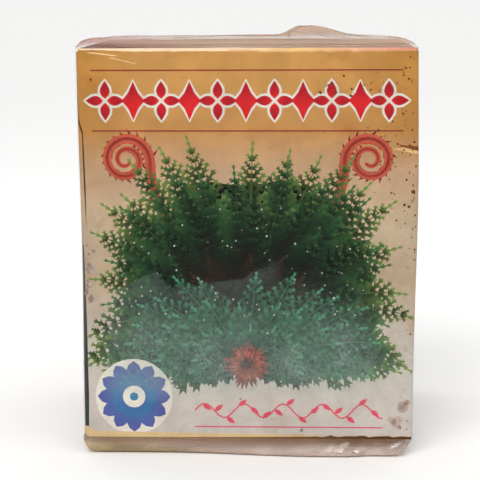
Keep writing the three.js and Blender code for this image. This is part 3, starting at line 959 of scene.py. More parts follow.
def crease_highlights_and_dent():
    return [
        # Painted highlights of two creases in the film.
        streak([(-35.5, 92.2), (-29, 91.45), (-28.4, 91.55), (-34, 92.3)], CREASE_HIGHLIGHT),
        streak([(-30.5, 91.1), (-24.3, 89.65), (-24.2, 89.8), (-29.6, 91.1)], FAINT_CREASE_HIGHLIGHT),
        # A dent's brown scuff with painted shade, then a painted highlight under it.
        streak([(33, 71.9), (34.4, 71.3), (37.9, 70.4), (37.9, 71.4), (35, 71.7)], DENT, DENT_SHADE),
        streak([(32, 70.9), (38, 69.6), (38, 70.3), (34.5, 71.1)], DENT_HIGHLIGHT),
    ]


def worn_foot_and_shadow():
    """The front's lower edge: rubbed gold at the left corner, and a dark line of painted shadow that is
    ragged at the right, under a pale worn strip."""
    corner = [(-38.4, 4), (-34.4, 4), (-35.2, 4.9), (-35.9, 6.0), (-36.8, 6.7), (-38.4, 6.4)]
    strip = [(8.0, 5.2), (38.3, 5.2)]
    for x in np.linspace(38.3, 8.0, 26):
        strip.append((x, 4.95 - 0.5 * float(smoothstep(x, 8, 24)) + 0.25 * noise.noise((0.6 * x, 3, 0))))
    # A painted shadow line just under the front's lower edge, ragged at the right.
    line = [(-37.9, PANEL_FOOT), (37.9, PANEL_FOOT)]
    for x in np.linspace(37.9, -37.9, 70):
        ragged = 0.25 + 0.5 * noise.noise((0.55 * x, 9, 0))
        line.append((x, 4.14 + 0.3 * float(smoothstep(x, -25, 15)) + ragged * float(smoothstep(x, 8, 24))))
    return [
        streak(corner, GOLD),
        streak(strip, WORN_FOOT),
        shape(line, FOOT_SHADOW_LINE, FOOT_SHADOW_DEEP, (-10, PANEL_FOOT), (28, PANEL_FOOT)),
    ]


def wear_dirt_and_painted_light(rng):
    """Dirt specks, soft smudges, painted highlights of creases in the film, a dent's scuff with painted
    shade and a painted highlight, rubbed edges that are also a painted highlight, and a painted shadow line
    at the foot.
    """
    dirt = speck_places(rng)
    smudges = list(SMUDGES) + along_edge(rng, 15, -36.8, 1.1, (35, 50), (0.35, 0.95))
    halos = [(x, z, HALO * radius) for x, z, radius in smudges]
    shapes = specks(halos, rng, SMUDGE_EDGE) + specks(smudges, rng, SMUDGE)
    return shapes + rubbed_edge_highlight() + crease_highlights_and_dent() + worn_foot_and_shadow() + specks(dirt, rng, DIRT)


def gold_foot():
    """The gold line round the walls' foot, a little higher at the front's left end."""
    low, left, right = PANEL_FOOT, CORNERS[1], CORNERS[2]
    under = low - 1
    front = [(left, under), (right, under), (right, low + 0.95), (left + 30, low + 1.15), (left, low + 1.6)]
    return [shape(band(0, ALONG[-1], under, low + 0.9), GOLD), shape(front, GOLD)]


def crushed_corner_shade():
    """Painted shade down the crushed front left corner, measured from it: the dark of an open slit and,
    above, the dark line of a crease.
    """
    slit = [(0.1, 49), (0.75, 30), (1.0, 14), (0.9, 6.5), (-0.4, 6.5), (-0.4, 49)]
    crease = [
        (-1.2, 92.6), (-0.3, 78), (0.9, 74.6), (1.1, 62), (0.95, 52), (0.7, 62), (0.6, 74.2), (-0.7, 77),
        (-1.6, 92.6),
    ]
    return [shape(slit, PAINTED_SLIT_SHADE, PAINTED_SLIT_SHADE_DEEP, (0, 49), (0, 20)), shape(crease, CRUSHED_CREASE_SHADE)]


CUT_STEP, CUT_RISE = 6.0, 5.5  # between the cuts that let the walls bow: along them, and up them


def walls():
    rng = random.Random(7)
    shapes = []
    for design, middle in (
        (side_design, LEFT_MIDDLE),
        (side_design, RIGHT_MIDDLE),
        (back_design, BACK_MIDDLE),
        (front_design, FRONT_MIDDLE),
    ):
        shapes += shifted(design(rng), middle)
    shapes += gold_foot()
    shapes += shifted(crushed_corner_shade(), CORNERS[1])
    shapes += shifted(wear_dirt_and_painted_light(rng), FRONT_MIDDLE)
    low, high, end = PANEL_FOOT, BOARD_TOP, ALONG[-1]
    panels = (
        ((0.0, low + NOTCH), (CORNERS[1], high - NOTCH)),
        ((CORNERS[1], low), (CORNERS[2], high)),
        ((CORNERS[2], low + NOTCH), (CORNERS[3], high - NOTCH)),
        ((CORNERS[3], low + CREASE), (end, high - CREASE)),
    )
    u_lines = sorted(set(ALONG) | set(np.arange(CUT_STEP, end - 3, CUT_STEP)))
    edges = {low + NOTCH, low + CREASE, high - NOTCH, high - CREASE}
    v_lines = sorted(edges | set(np.arange(low + 5, high - 3, CUT_RISE)))
    board_sheet("carton_walls", panels, place_wall, shapes, ground, (u_lines, v_lines))


# ---------- the carton's closures ----------

ARC_POINTS = 7  # on an arc
LINE_STEP = 4  # about how far apart the points of a straight stretch are


def fold_line(stretches):
    """A line in the YZ plane made of straight stretches and arcs: distance, place and outward direction.
    A stretch is ("line", start, end, outward) or ("arc", centre, radius, first angle, last angle)."""
    places, directions = [], []
    for kind, *data in stretches:
        if kind == "line":
            start, end, outward = (np.array(d, float) for d in data)
            steps = max(1, round(np.linalg.norm(end - start) / LINE_STEP))
            for t in np.linspace(0, 1, steps + 1):
                places.append(mix(start, end, t))
                directions.append(outward)
        else:
            centre, radius, first, last = data
            for angle in np.linspace(first, last, ARC_POINTS):
                out = np.array([math.cos(angle), math.sin(angle)])
                places.append(np.array(centre) + radius * out)
                directions.append(out)
    places, directions = np.array(places), np.array(directions)
    gaps = np.linalg.norm(np.diff(places, axis=0), axis=1)
    kept = np.concatenate([[True], gaps > 1e-6])
    return distances(places[kept]), places[kept], directions[kept]


def on_fold_line(line, flat, depth):
    along, places, directions = line
    y, z = (
        np.interp(flat[:, 1], along, places[:, k]) - depth * np.interp(flat[:, 1], along, directions[:, k])
        for k in (0, 1)
    )
    return np.stack([flat[:, 0], y, z], 1)


def closure_line(crease_z, upward):
    """The lid's outer face: up the back, over the top and down inside the front. The bottom's mirrors it."""
    c, top = CREASE, crease_z * upward
    inner_y = -(BOARD_Y - BOARD - TUCK_PLAY)
    stretches = (
        ("arc", (BOARD_Y - c, top - c), c, 0.0, 0.5 * math.pi),
        ("line", (BOARD_Y - c, top), (inner_y + c, top), (0, 1)),
        ("arc", (inner_y + c, top - c), c, 0.5 * math.pi, math.pi),
        ("line", (inner_y, top - c), (inner_y, top - TUCK_LENGTH), (-1, 0)),
    )
    along, places, directions = fold_line(stretches)
    flip = np.array([1, upward])
    return along, places * flip, directions * flip


LID_LINE = closure_line(BOARD_TOP, 1)
BOTTOM_LINE = closure_line(PANEL_FOOT, -1)


def place_lid(flat, depth):
    p = on_fold_line(LID_LINE, flat, depth)
    on_panel = smoothstep(p[:, 2] + depth, BOARD_TOP - CREASE, BOARD_TOP)
    p[:, 2] += LID_DOME * swell(p[:, 0], p[:, 1]) * on_panel
    return bowed(p)


def sag_share(x, y):
    """How far the bottom panel hangs below its creases at a place, from 0 to 1."""
    front = smoothstep(y + BOARD_Y, 0, SAG_SHOULDER)
    back = smoothstep(BOARD_Y - y, 0, SAG_SHOULDER)
    ends = smoothstep(BOARD_X - np.abs(x), 0, SAG_END_RUN)
    return front * back * mix(SAG_END_SHARE, 1, ends)


def place_bottom(flat, depth):
    p = on_fold_line(BOTTOM_LINE, flat, depth)
    on_panel = 1 - smoothstep(p[:, 2] - depth, PANEL_FOOT + 0.2, PANEL_FOOT + CREASE)
    p[:, 2] -= (PANEL_FOOT - BOARD_LOW) * sag_share(p[:, 0], p[:, 1]) * on_panel
    return bowed(p)


def closure(name, line, place, ground_colour, shapes=()):
    """The lid or the bottom with its tuck flap, as one sheet that is bent along its fold line."""
    half = BOARD_X - LID_INSET
    length = line[0][-1]
    v_lines = sorted(set(line[0]) | set(np.arange(2, length, 2.0)))
    lines = (np.linspace(-half, half, 25), v_lines)
    board_sheet(name, (((-half, 0.0), (half, length)),), place, shapes, ground_colour, lines, tile=15.0)


def lid():
    front_v = LID_LINE[0][-1] - TUCK_LENGTH
    leaf_tones = ((srgb(176, 76, 72), srgb(200, 110, 100)), (srgb(204, 160, 82), srgb(216, 180, 110)))
    leaf_step = 4.6
    rule = srgb(164, 84, 64)
    shapes = []
    for k in range(-7, 8):
        x = leaf_step * k
        for side in (-1, 1):
            leaf = moved(petal(3.4, 1.5), (x, front_v - 5.5), side * math.pi / 2)
            shapes.append(shape(leaf, *leaf_tones[k % 2], (x, 0), (x + 2, 0)))
    for v in (5.0, front_v - 3.4, front_v - 8.0):
        shapes.append(shape(band(-34, 34, v, v + 0.3), rule))
    shapes += rosette((0, 27), 12, 6.4, 2.6, inner=srgb(190, 110, 100), outer=srgb(204, 150, 130))
    # The front of the lid's ground is darkest at its left end, a painted shadow.
    back, left = srgb(160, 128, 102), srgb(132, 90, 80)
    middle, right = srgb(206, 180, 160), srgb(190, 150, 130)

    def tint(p):
        front = mix(left, middle, smoothstep(p[:, 0], -36, -6)[:, None])
        front = mix(front, right, smoothstep(p[:, 0], 2, 24)[:, None])
        return mix(back, front, smoothstep(p[:, 1], front_v - 22, front_v - 8)[:, None])

    closure("carton_lid", LID_LINE, place_lid, tint, shapes)


def bottom():
    tan, olive = srgb(186, 146, 112), srgb(176, 148, 84)
    front_v = BOTTOM_LINE[0][-1] - TUCK_LENGTH - CREASE

    def tint(p):
        low_edge = smoothstep(front_v - p[:, 1], 2.2, 3.4) * (1 - smoothstep(p[:, 0], -10, 12))
        return mix(tan, olive, low_edge[:, None])

    closure("carton_bottom", BOTTOM_LINE, place_bottom, tint)


# ---------- the carton's inner flaps ----------

FLAP_LENGTH = 24.5
FLAP_ROOT = 44.0
FLAP_TIP = 34.0
FLAP_NECK = 8.0
FLAP_CORNER = 3  # radius of its rounded end
FLAP_CREASE = 0.5
FLAP_GAP = 0.1  # to the lid or the bottom

GLUE_WIDTH = 12.0
GLUE_INSET = 5.0  # how far its ends stop short of the walls'
GLUE_LEFT = 0.2  # where it starts, in from the left wall's outer face
GLUE_STEP, GLUE_BEND = 0.6, 1.2  # how far off the back wall it starts, and how far on it lies against it
GLUE_LAYER = 0.02
ONE_TILE = 100.0  # a flap has no print to cut it up for


def cream(p):
    return np.tile(FLAP_CREAM, (len(p), 1))


def dust_flap(name, side, at_top):
    """Goes from a side wall's edge over a small crease, then in under the lid or over the bottom."""
    turn = 1 if at_top else -1
    level = BOARD_TOP - BOARD - FLAP_GAP if at_top else PANEL_FOOT + BOARD + FLAP_GAP
    fall = 0 if at_top else PANEL_FOOT - BOARD_LOW
    hinge = BOARD_X - 0.05
    arc = 0.5 * math.pi * FLAP_CREASE

    def place(flat, depth):
        u, v = flat[:, 0], flat[:, 1]
        angle = np.clip(u / arc, 0, 1) * math.pi / 2
        reach = np.maximum(u - arc, 0)
        x = hinge - FLAP_CREASE + (FLAP_CREASE - depth) * np.cos(angle) - reach
        z = level - turn * FLAP_CREASE + turn * (FLAP_CREASE - depth) * np.sin(angle)
        taper = smoothstep(reach, FLAP_NECK, FLAP_LENGTH)
        into_corner = np.clip((reach - FLAP_LENGTH + FLAP_CORNER) / FLAP_CORNER, 0, 1)
        round_off = np.sqrt(np.clip(1 - into_corner ** 2, 0.0, 1))
        half = mix(FLAP_ROOT, FLAP_TIP, taper) / 2 - FLAP_CORNER * (1 - round_off)
        z = z - fall * sag_share(x, v * half) * np.clip(reach / FLAP_NECK, 0, 1)
        return bowed(np.stack([side * x, side * v * half, z], 1))

    length = arc + FLAP_LENGTH
    lines = (sorted({arc / 2, arc} | set(np.linspace(arc + 1, length, 14))), np.linspace(-1, 1, 9))
    board_sheet(name, (((0.0, -1.0), (length, 1.0)),), place, (), cream, lines, tile=ONE_TILE)


def glue_flap():
    """Runs on from the left wall and is glued inside the back wall."""
    low, high = PANEL_FOOT + GLUE_INSET, BOARD_TOP - GLUE_INSET

    def place(flat, depth):
        x = -BOARD_X + GLUE_LEFT + flat[:, 0]
        off_wall = GLUE_STEP * (1 - smoothstep(flat[:, 0], 0, GLUE_BEND))
        y = BOARD_Y - BOARD - GLUE_LAYER - off_wall - depth
        return bowed(np.stack([x, y, flat[:, 1]], 1))

    lines = (np.array([0.4, 0.8, GLUE_BEND, 4, 8]), np.linspace(low, high, 14))
    board_sheet("glue_flap", (((0.0, low), (GLUE_WIDTH, high)),), place, (), cream, lines, tile=ONE_TILE)


# ---------- the film's form ----------

EDGE_ROUND = 0.9
FLOOR_LIFT = 0.2  # room under the film's bottom for its folded ends
FOLD_REACH = FILM_DEPTH / 2 + 9.0  # how far the long end flaps reach from their own edge
FOLD_NARROWING = FILM_DEPTH / 2  # a flap's sides run in at 45 degrees this far

# The slack film under the panels' lower edge: how far it is drawn in at the left, the right and the back.
SKIRT_ROUND, SKIRT_CUT, SKIRT_BACK = 2.8, 3.2, 2.4
# In front it is drawn in at the left, swings forward towards the right, and eases off at the end.
SKIRT_DRAWN, SKIRT_FORWARD, SKIRT_EASE = 0.9, 2.8, 0.35
SKIRT_START, SKIRT_FULL, SKIRT_EASE_FROM, SKIRT_EASE_TO = -19.0, 17.0, 24.0, 31.0

# The slack film over the lid, and the crumpled end of its fold.
PUFF, PUFF_RUN, DOME = 0.8, 1.5, 0.5
CORNER_PUFFS = ((-35.5, -20.0, 1.0), (-34.0, 6.0, 0.35), (35.5, -14.0, 0.45))  # x, y, height
CORNER_PUFF_X, CORNER_PUFF_Y, CORNER_PUFF_EDGE = 7.0, 12.0, 0.5  # how far they reach, and start at an edge
CRUMPLE_HEIGHT, CRUMPLE_X, CRUMPLE_Y, CRUMPLE_FLAT = 2.4, 13.4, 6.0, 1.4
CRUMPLE_LEFT, CRUMPLE_RIGHT, CRUMPLE_DEPTH = 3.2, 7.5, 8.0  # how soon it falls away to each side

# How far the wrinkles stand out.
RIPPLE = 0.035  # on the flat faces
PULL = 0.22  # long pulls near the front's upper left corner
FOLD, FINE_FOLD, FOLD_BASE = 0.5, 0.28, 0.15  # sharp crinkles in the slack corner at the lower right
SKIRT_WRINKLE = 0.10
RAY, RAYS, RAY_RUN = 0.14, 9, 17  # round the crumple
LOOSE, FINE_LOOSE = 0.12, 0.035  # over the lid


def edge_rise(x, y, run):
    """From 0 at the film's upright faces to 1 well inside them."""
    in_x = np.maximum(FILM_WIDTH / 2 - np.abs(x), 0)
    in_y = np.maximum(FILM_DEPTH / 2 - np.abs(y), 0)
    return (1 - np.exp(-in_x / run)) * (1 - np.exp(-in_y / run))


def top_rise(x, y):
    """How high the film stands over the plain box's top at a place."""
    rise = PUFF * edge_rise(x, y, PUFF_RUN) + DOME * swell(x, y)
    edge = edge_rise(x, y, CORNER_PUFF_EDGE)
    for puff_x, puff_y, height in CORNER_PUFFS:
        rise += height * bell((x - puff_x) / CORNER_PUFF_X) * bell((y - puff_y) / CORNER_PUFF_Y) * edge
    off = x - CRUMPLE_X
    beyond = np.sign(off) * np.maximum(np.abs(off) - CRUMPLE_FLAT, 0)
    run = np.where(beyond < 0, CRUMPLE_LEFT, CRUMPLE_RIGHT)
    return rise + CRUMPLE_HEIGHT * bell(beyond / run) * bell((y - CRUMPLE_Y) / CRUMPLE_DEPTH)


def drawn_in(p):
    """Draws the film in under the panels' lower edges, and forward in front where it is crumpled."""
    p = p.copy()
    k = np.clip((PANEL_FOOT - p[:, 2]) / PANEL_FOOT, 0, 1)
    rounded = 1 - np.sqrt(1 - k * k)
    share_x = np.clip(p[:, 0] / FILM_WIDTH + 0.5, 0, 1)
    share_y = np.clip(p[:, 1] / FILM_DEPTH + 0.5, 0, 1)
    ease = 1 - SKIRT_EASE * smoothstep(p[:, 0], SKIRT_EASE_FROM, SKIRT_EASE_TO)
    forward = SKIRT_FORWARD * smoothstep(p[:, 0], SKIRT_START, SKIRT_FULL) * ease
    front = (SKIRT_DRAWN - forward) * k
    p[:, 0] += SKIRT_ROUND * rounded * (1 - share_x) - SKIRT_CUT * k * share_x
    p[:, 1] += front * (1 - share_y) - SKIRT_BACK * rounded * share_y
    return p


def flat_wrinkles(x, y, z):
    """Gentle ripples on the flat faces, and long pulls from the upper left corner."""
    ripple = RIPPLE * noise_at(np.stack([x, y, 0.45 * z], 1), 0.16, 3.1)
    corner = bell((x + 24) / 14) * bell((z - 91) / 4) * (y < -20)
    return ripple + PULL * corner * np.abs(noise_at(np.stack([x + 3.2 * z, y, z * 0.4], 1), 0.35, 8.0))


def low_wrinkles(x, y, z):
    """Sharp crinkles in the slack corner at the lower right, and soft ones all round the skirt."""
    slack = smoothstep(x, 15, 25) * (1 - smoothstep(z, 3.0, 6.0)) * (y < 10)
    slanted = np.stack([x - 0.9 * z, y, z + 0.3 * x], 1)
    folds = 1 - np.minimum(np.abs(noise_at(slanted, 0.3, 5.0)) * 3.4, 1)
    fine_folds = 1 - np.minimum(np.abs(noise_at(slanted, 0.75, 1.0)) * 3.0, 1)
    crinkle = slack * (FOLD * folds + FINE_FOLD * fine_folds - FOLD_BASE)
    soft = np.abs(noise_at(np.stack([x, y, z], 1), 0.3, 2.0))
    return crinkle + SKIRT_WRINKLE * (1 - smoothstep(z, 3.2, 4.6)) * soft


def top_wrinkles(x, y, z):
    """Rays round the crumple, and the loose film's waves over the lid."""
    p = np.stack([x, y, z], 1)
    away = np.hypot(x - CRUMPLE_X, (y - CRUMPLE_Y) * 0.8)
    angle = np.arctan2(y - CRUMPLE_Y, x - CRUMPLE_X)
    waves = np.sin(RAYS * angle + 1.5 * noise_at(p, 0.12, 4.0))
    rays = RAY * bell(away / RAY_RUN) * smoothstep(away, 0.5, 3) * waves
    loose = LOOSE * noise_at(p, 0.11, 6.0) + FINE_LOOSE * np.abs(noise_at(p, 0.45, 7.0))
    return smoothstep(z, FILM_HEIGHT - 0.6, FILM_HEIGHT) * (rays + loose)


def film_shape(p):
    """Takes points on a plain box of the film's size to where the film lies."""
    r = EDGE_ROUND
    low = np.array([-FILM_WIDTH / 2 + r, -FILM_DEPTH / 2 + r, FLOOR_LIFT + r])
    high = np.array([FILM_WIDTH / 2 - r, FILM_DEPTH / 2 - r, FILM_HEIGHT - r])
    centre = np.clip(p, low, high)
    out = p - centre
    outward = out / np.maximum(np.linalg.norm(out, axis=1), 1e-12)[:, None]
    near_edge = (np.abs(out) > 1e-9).sum(1) > 1
    p = np.where(near_edge[:, None], centre + outward * r, p)
    over_lid = p[:, 2] > high[2] - 1e-9
    shaped = drawn_in(p)
    shaped[over_lid] = p[over_lid]
    shaped[over_lid, 2] += top_rise(p[over_lid, 0], p[over_lid, 1])
    lift = flat_wrinkles(*p.T) + low_wrinkles(*p.T) + top_wrinkles(*p.T)
    lift[p[:, 2] < low[2] + 1e-9] = 0.0
    return bowed(shaped + outward * lift[:, None])


def spaced(low, high, step, dense=()):
    """Places from low to high: close together at the rounded ends and in the dense stretches."""
    ends = [0, 0.12, 0.35, 0.65, EDGE_ROUND]
    places = [low + d for d in ends] + [high - d for d in ends]
    inner_low, inner_high = low + EDGE_ROUND, high - EDGE_ROUND
    places += list(np.linspace(inner_low, inner_high, round((inner_high - inner_low) / step) + 1))
    for start, end, fine in dense:
        places += list(np.arange(start, end, fine))
    places = sorted(places)
    kept = [places[0]]
    for place in places[1:-1]:
        if place - kept[-1] > 0.1 and high - place > 0.1:
            kept.append(place)
    return np.array(kept + [places[-1]])


def box_surface(*cuts):
    """The surface of a box, cut at the given places along each axis."""
    index, points, faces = {}, [], []
    round_the_square = ((0, 0), (1, 0), (1, 1), (0, 1))

    def corner(place):
        if place not in index:
            index[place] = len(points)
            points.append([cuts[axis][k] for axis, k in enumerate(place)])
        return index[place]

    for axis, first_flipped in ((2, True), (1, False), (0, True)):
        one, other = (k for k in range(3) if k != axis)
        for end, flip in ((0, first_flipped), (len(cuts[axis]) - 1, not first_flipped)):
            for i in range(len(cuts[one]) - 1):
                for j in range(len(cuts[other]) - 1):
                    square = [{axis: end, one: i + a, other: j + b} for a, b in round_the_square]
                    face = [corner((at[0], at[1], at[2])) for at in square]
                    faces.append(face[::-1] if flip else face)
    return np.array(points), faces


def grid_faces(rows, columns, flip):
    faces = []
    for i in range(rows - 1):
        for j in range(columns - 1):
            a = i * columns + j
            face = [a, a + 1, a + columns + 1, a + columns]
            faces.append(face[::-1] if flip else face)
    return faces


# ---------- the film's haze ----------

# The upper edge of the rubbed patch on the front, also a painted reflection, from left to right.
REFLECTION_PATCH_X = (-34, -27, -20.7, -17, -1.5, 4, 7.5, 30)
REFLECTION_PATCH_TOP = (38.0, 40.5, 43.0, 39.7, 41.6, 44.6, 47.0, 44.0)


def milky_top(x, y, z):
    """Over the lid, where the film is folded on itself: milkier at both ends and at the crumple, and
    clearer in a strip along the front."""
    on_top = smoothstep(z, FILM_HEIGHT - 0.5, FILM_HEIGHT - 0.05)
    front_strip = mix(0.2, 0.6, smoothstep(x, -30, 0))
    on_top *= mix(front_strip, 1, smoothstep(y, -28.4, -26.6))
    plain = mix(0.36, 0.18, smoothstep(y, -25, -15))
    on_top *= plain + 0.25 * (1 - smoothstep(x, -38, -28)) + 0.1 * smoothstep(x, 32, 38)
    crumple = bell(np.hypot(x - CRUMPLE_X, y - CRUMPLE_Y) / 8)
    return on_top + 0.4 * crumple * (z > FILM_HEIGHT - 0.5)


def milky_skirt(x, y, z):
    """Under the panels' lower edge, where the film is slack and crinkled, most so at the right."""
    to_right = smoothstep(x, -24, 16)
    lower = 1 - smoothstep(z, 0.8, mix(2.2, 3.6, to_right))
    crinkled = smoothstep(x, 16, 30) * np.abs(noise_at(np.stack([x, y, z], 1), 0.5, 15.0))
    slack = lower * mix(0.25, 0.55, to_right) + 0.5 * crinkled * (z < PANEL_FOOT - 0.3)
    to_left = mix(0.42, 0.12, smoothstep(x, -20, 8)) + 0.25 * (1 - smoothstep(x, -35, -30))
    return slack + to_left * (z < PANEL_FOOT)


def rubbed_reflection_patch(x, y, z):
    """How far each point lies under the rubbed patch's wavy upper edge, and how strong the patch is.
    The patch is also a painted reflection in the film.
    """
    p = np.stack([x, y, z], 1)
    below = np.interp(x, REFLECTION_PATCH_X, REFLECTION_PATCH_TOP) + 0.5 * noise_at(p, 0.3, 11.0) - z
    fades_in = mix(1, smoothstep(below, 0, 20), smoothstep(x, 1, 9))
    strong = mix(0.85, 0.22, smoothstep(z, 20, 37)) * smoothstep(z, 12, 18) * fades_in
    strong *= smoothstep(x, -34, -31) * (1 - 0.7 * smoothstep(x, 22, 36))
    strong *= (0.9 + 0.6 * noise_at(p, 0.11, 13.0)) * (y < -FILM_DEPTH / 2 + 0.01)
    return np.clip(below, -4, 4), np.clip(strong, 0, 1)


def milkiness(p):
    """Three measures of the film at each point of the plain box. How milky it is, from 0 to 1, where it is
    folded over itself or slack. How far it lies under the wavy upper edge of the rubbed patch, which is also
    a painted reflection, in millimetres. And how strong that patch is there, from 0 to 1."""
    milky = np.clip(milky_top(*p.T) + milky_skirt(*p.T), 0, 1)
    return np.stack([milky, *rubbed_reflection_patch(*p.T)], 1)


# The film's colour where it is folded or slack, with painted reflections of the print's gold at the lower
# left and its red at the upper left; where it is rubbed, also a painted reflection; where it is clear; and a
# painted shadow where it hangs under the panels' lower edge.
FOLDED = rgba(212, 178, 150)
FOLDED_LOW = rgba(206, 182, 168)
FOLDED_GOLD_REFLECTION = rgba(198, 172, 128)
TOP_RED_REFLECTION = rgba(206, 156, 142)
RUBBED_AND_REFLECTED = rgba(158, 182, 172)
CLEAR = rgba(70, 66, 60)
UNDER_CREASE_SHADOW = rgba(142, 106, 66)
LOW_GOLD_REFLECTION = rgba(166, 138, 76)


def folded_colour(n, across, height):
    # Painted reflections of the print: its gold low down at the left, its red on top at the left.
    left = n.mix(n.ramp(height, 0.03, 0.06), FOLDED_GOLD_REFLECTION, TOP_RED_REFLECTION)
    right = n.mix(n.ramp(height, 0.01, 0.03), FOLDED_LOW, FOLDED)
    folded = n.mix(n.ramp(across, -0.036, -0.008), left, right)
    # A painted shadow just under the panels' lower edge.
    shadow_under_panel = n.times(n.ramp(height, 0.0022, 0.0038), n.ramp(height, 0.01, 0.02, 0.85, 0.0))
    folded = n.mix(shadow_under_panel, folded, UNDER_CREASE_SHADOW)
    # A painted reflection of the print's gold, low down at the left.
    low_left = n.times(n.ramp(height, 0.0009, 0.0022, 0.8, 0.0), n.ramp(across, -0.024, 0.0, 1.0, 0.0))
    return n.mix(low_left, folded, LOW_GOLD_REFLECTION)


def clear_film():
    """Clear film as a lone shader: part transparent, with a gloss that its index makes up for."""
    n = Nodes("clear_film")
    across, _, height = n.parts(n.place)
    milky, below, strong = n.parts(n.attribute("milky")["Vector"])
    milky = n.times(milky, n.ramp(n.noise(130, 4, 0.6), 0.25, 0.75, 0.7, 1.3))
    ragged = n.plus(below, n.ramp(n.noise(600, 3, 0.6), 0.3, 0.7, -0.5, 0.5))
    # The rubbed patch, which is also a painted reflection.
    reflection_patch = n.times(n.ramp(ragged, 0.0, 0.5), strong)
    grain = n.ramp(n.noise(1500, 3, 0.7), 0.32, 0.68, 0.5, 1.5)
    cloud = n.times(n.ramp(n.noise(340, 4, 0.7), 0.35, 0.65, 0.1, 0.17), grain)
    scratches = n.ramp(n.noise(420, 4, 0.7), 0.62, 0.8, 0.0, 0.05)
    haze = n.plus(n.times(milky, 0.75), 0.02)
    single = n.mix(n.ramp(reflection_patch, 0.0, 0.1), CLEAR, RUBBED_AND_REFLECTED)
    dull_corner = n.times(n.ramp(height, 0.004, 0.006, 1.0, 0.0), n.ramp(across, 0.015, 0.025, 0.35, 0.0))
    dulled = n.plus(dull_corner, n.ramp(height, 0.0939, 0.0943, 0.0, 0.4))
    fine_lines, long_lines = n.noise(900, 4, 0.6, (1, 1, 0.5)), n.noise(190, 3, 0.6, (1, 1, 0.18))
    n.set(
        Base_Color=n.mix(n.ramp(milky, 0.0, 0.04), single, folded_colour(n, across, height)),
        Roughness=n.plus(n.ramp(n.noise(260, 3), 0.3, 0.7, 0.05, 0.16), dulled),
        IOR=2.2,
        Alpha=n.plus(haze, n.plus(n.times(reflection_patch, cloud), scratches)),
        Normal=n.bump(fine_lines, 0.00005, 0.3, n.bump(long_lines, 0.00016, 0.35)),
    )
    return n.material


# ---------- the film's pieces ----------

LAP_HALF = 4.0  # half the width of the back lap
VENT_X, VENT_LOW, VENT_HIGH = 4.5, 12.0, 20.0  # the slit beside the lap


def film_sheet(name, flat, points, faces):
    """Gives a sheet of film its thickness, by a second face inside it, joined along the sheet's edges.
    flat is where the points lie on the plain box, which says how milky the film is there."""
    mesh = bpy.data.meshes.new("outer_face")
    mesh.from_pydata(points.tolist(), [], faces)
    normals = np.array([v.vector for v in mesh.vertex_normals])
    bpy.data.meshes.remove(mesh)
    inner = points - FILM_LAYER * normals
    count = len(points)
    once = {}
    for face in faces:
        for a, b in zip(face, face[1:] + face[:1]):
            if (b, a) in once:
                del once[(b, a)]
            else:
                once[(a, b)] = True
    rim = [[b, a, a + count, b + count] for a, b in once]
    back = [[v + count for v in face[::-1]] for face in faces]
    both = np.concatenate([points, inner])
    piece = mesh_piece(name, both, faces + back + rim, FILM_MATERIAL, "clear_film", "film_wrap")
    milky = piece.data.attributes.new("milky", "FLOAT_VECTOR", "POINT")
    milky.data.foreach_set("vector", np.tile(milkiness(flat).ravel(), 2).astype(np.float32))


def film_wrap():
    """The sleeve round the carton. Its ends are open where two end flaps lie over each other."""
    xs = spaced(-FILM_WIDTH / 2, FILM_WIDTH / 2, 1.25, ((6, 24, 0.6),))
    ys = spaced(-FILM_DEPTH / 2, FILM_DEPTH / 2, 1.25)
    zs = spaced(FLOOR_LIFT, FILM_HEIGHT, 1.6, ((0.8, 6.0, 0.5),))
    points, faces = box_surface(xs, ys, zs)
    x, y, z = points[np.array(faces)].mean(1).T
    beside_lap = (y > FILM_DEPTH / 2 - 1e-6) & (np.abs(x - VENT_X) < 0.5)
    in_vent = beside_lap & (z > VENT_LOW) & (z < VENT_HIGH)
    flap_half, flap_over = (FILM_WIDTH - FILM_DEPTH) / 2, FOLD_REACH - FILM_DEPTH / 2
    at_end = (z > FILM_HEIGHT - 1e-6) | (z < FLOOR_LIFT + 1e-6)
    under_flaps = at_end & (np.abs(x) < flap_half - 0.3) & (np.abs(y) < flap_over - 0.4)
    faces = [face for face, gone in zip(faces, in_vent | under_flaps) if not gone]
    film_sheet("film_sleeve", points, film_shape(points), faces)


# The end flaps in the order they are folded: name, direction of its own edge of the box, and how far it
# lies off the film below it.
END_FLAPS = (
    ("left_tuck", (-1, 0), 0.03),
    ("right_tuck", (1, 0), 0.03),
    ("back_flap", (0, 1), 0.08),
    ("front_flap", (0, -1), 0.14),
)


def end_flap(name, edge, at_top, lift):
    """One end flap of the film. It starts full width at its own edge of the box, and its sides run in at
    45 degrees."""
    rows, columns = 46, 41
    edge = np.array(edge, float)
    sideways = np.array([-edge[1], edge[0]])
    half_box = np.array([FILM_WIDTH, FILM_DEPTH]) / 2
    own_half, cross_half = half_box @ np.abs(edge), half_box @ np.abs(sideways)
    reach = FOLD_REACH if abs(edge[1]) else FOLD_NARROWING - 1.0
    inward = np.repeat(np.linspace(EDGE_ROUND, reach, rows), columns)
    across = np.tile(np.linspace(-1, 1, columns), rows)
    half = cross_half - EDGE_ROUND - np.minimum(inward, FOLD_NARROWING - 1.0)
    place = (own_half - inward)[:, None] * edge + (across * half)[:, None] * sideways
    flat = np.insert(place, 2, FILM_HEIGHT if at_top else FLOOR_LIFT, axis=1)
    shaped = film_shape(flat)
    loose = np.maximum(smoothstep(inward, reach - 4, reach), smoothstep(np.abs(across), 0.86, 1.0)) * at_top
    curl = 0.28 * loose * np.abs(noise_at(flat, 0.22, 9.0 + edge[1]))
    shaped[:, 2] += lift + curl if at_top else -lift
    film_sheet(name, flat, shaped, grid_faces(rows, columns, at_top))


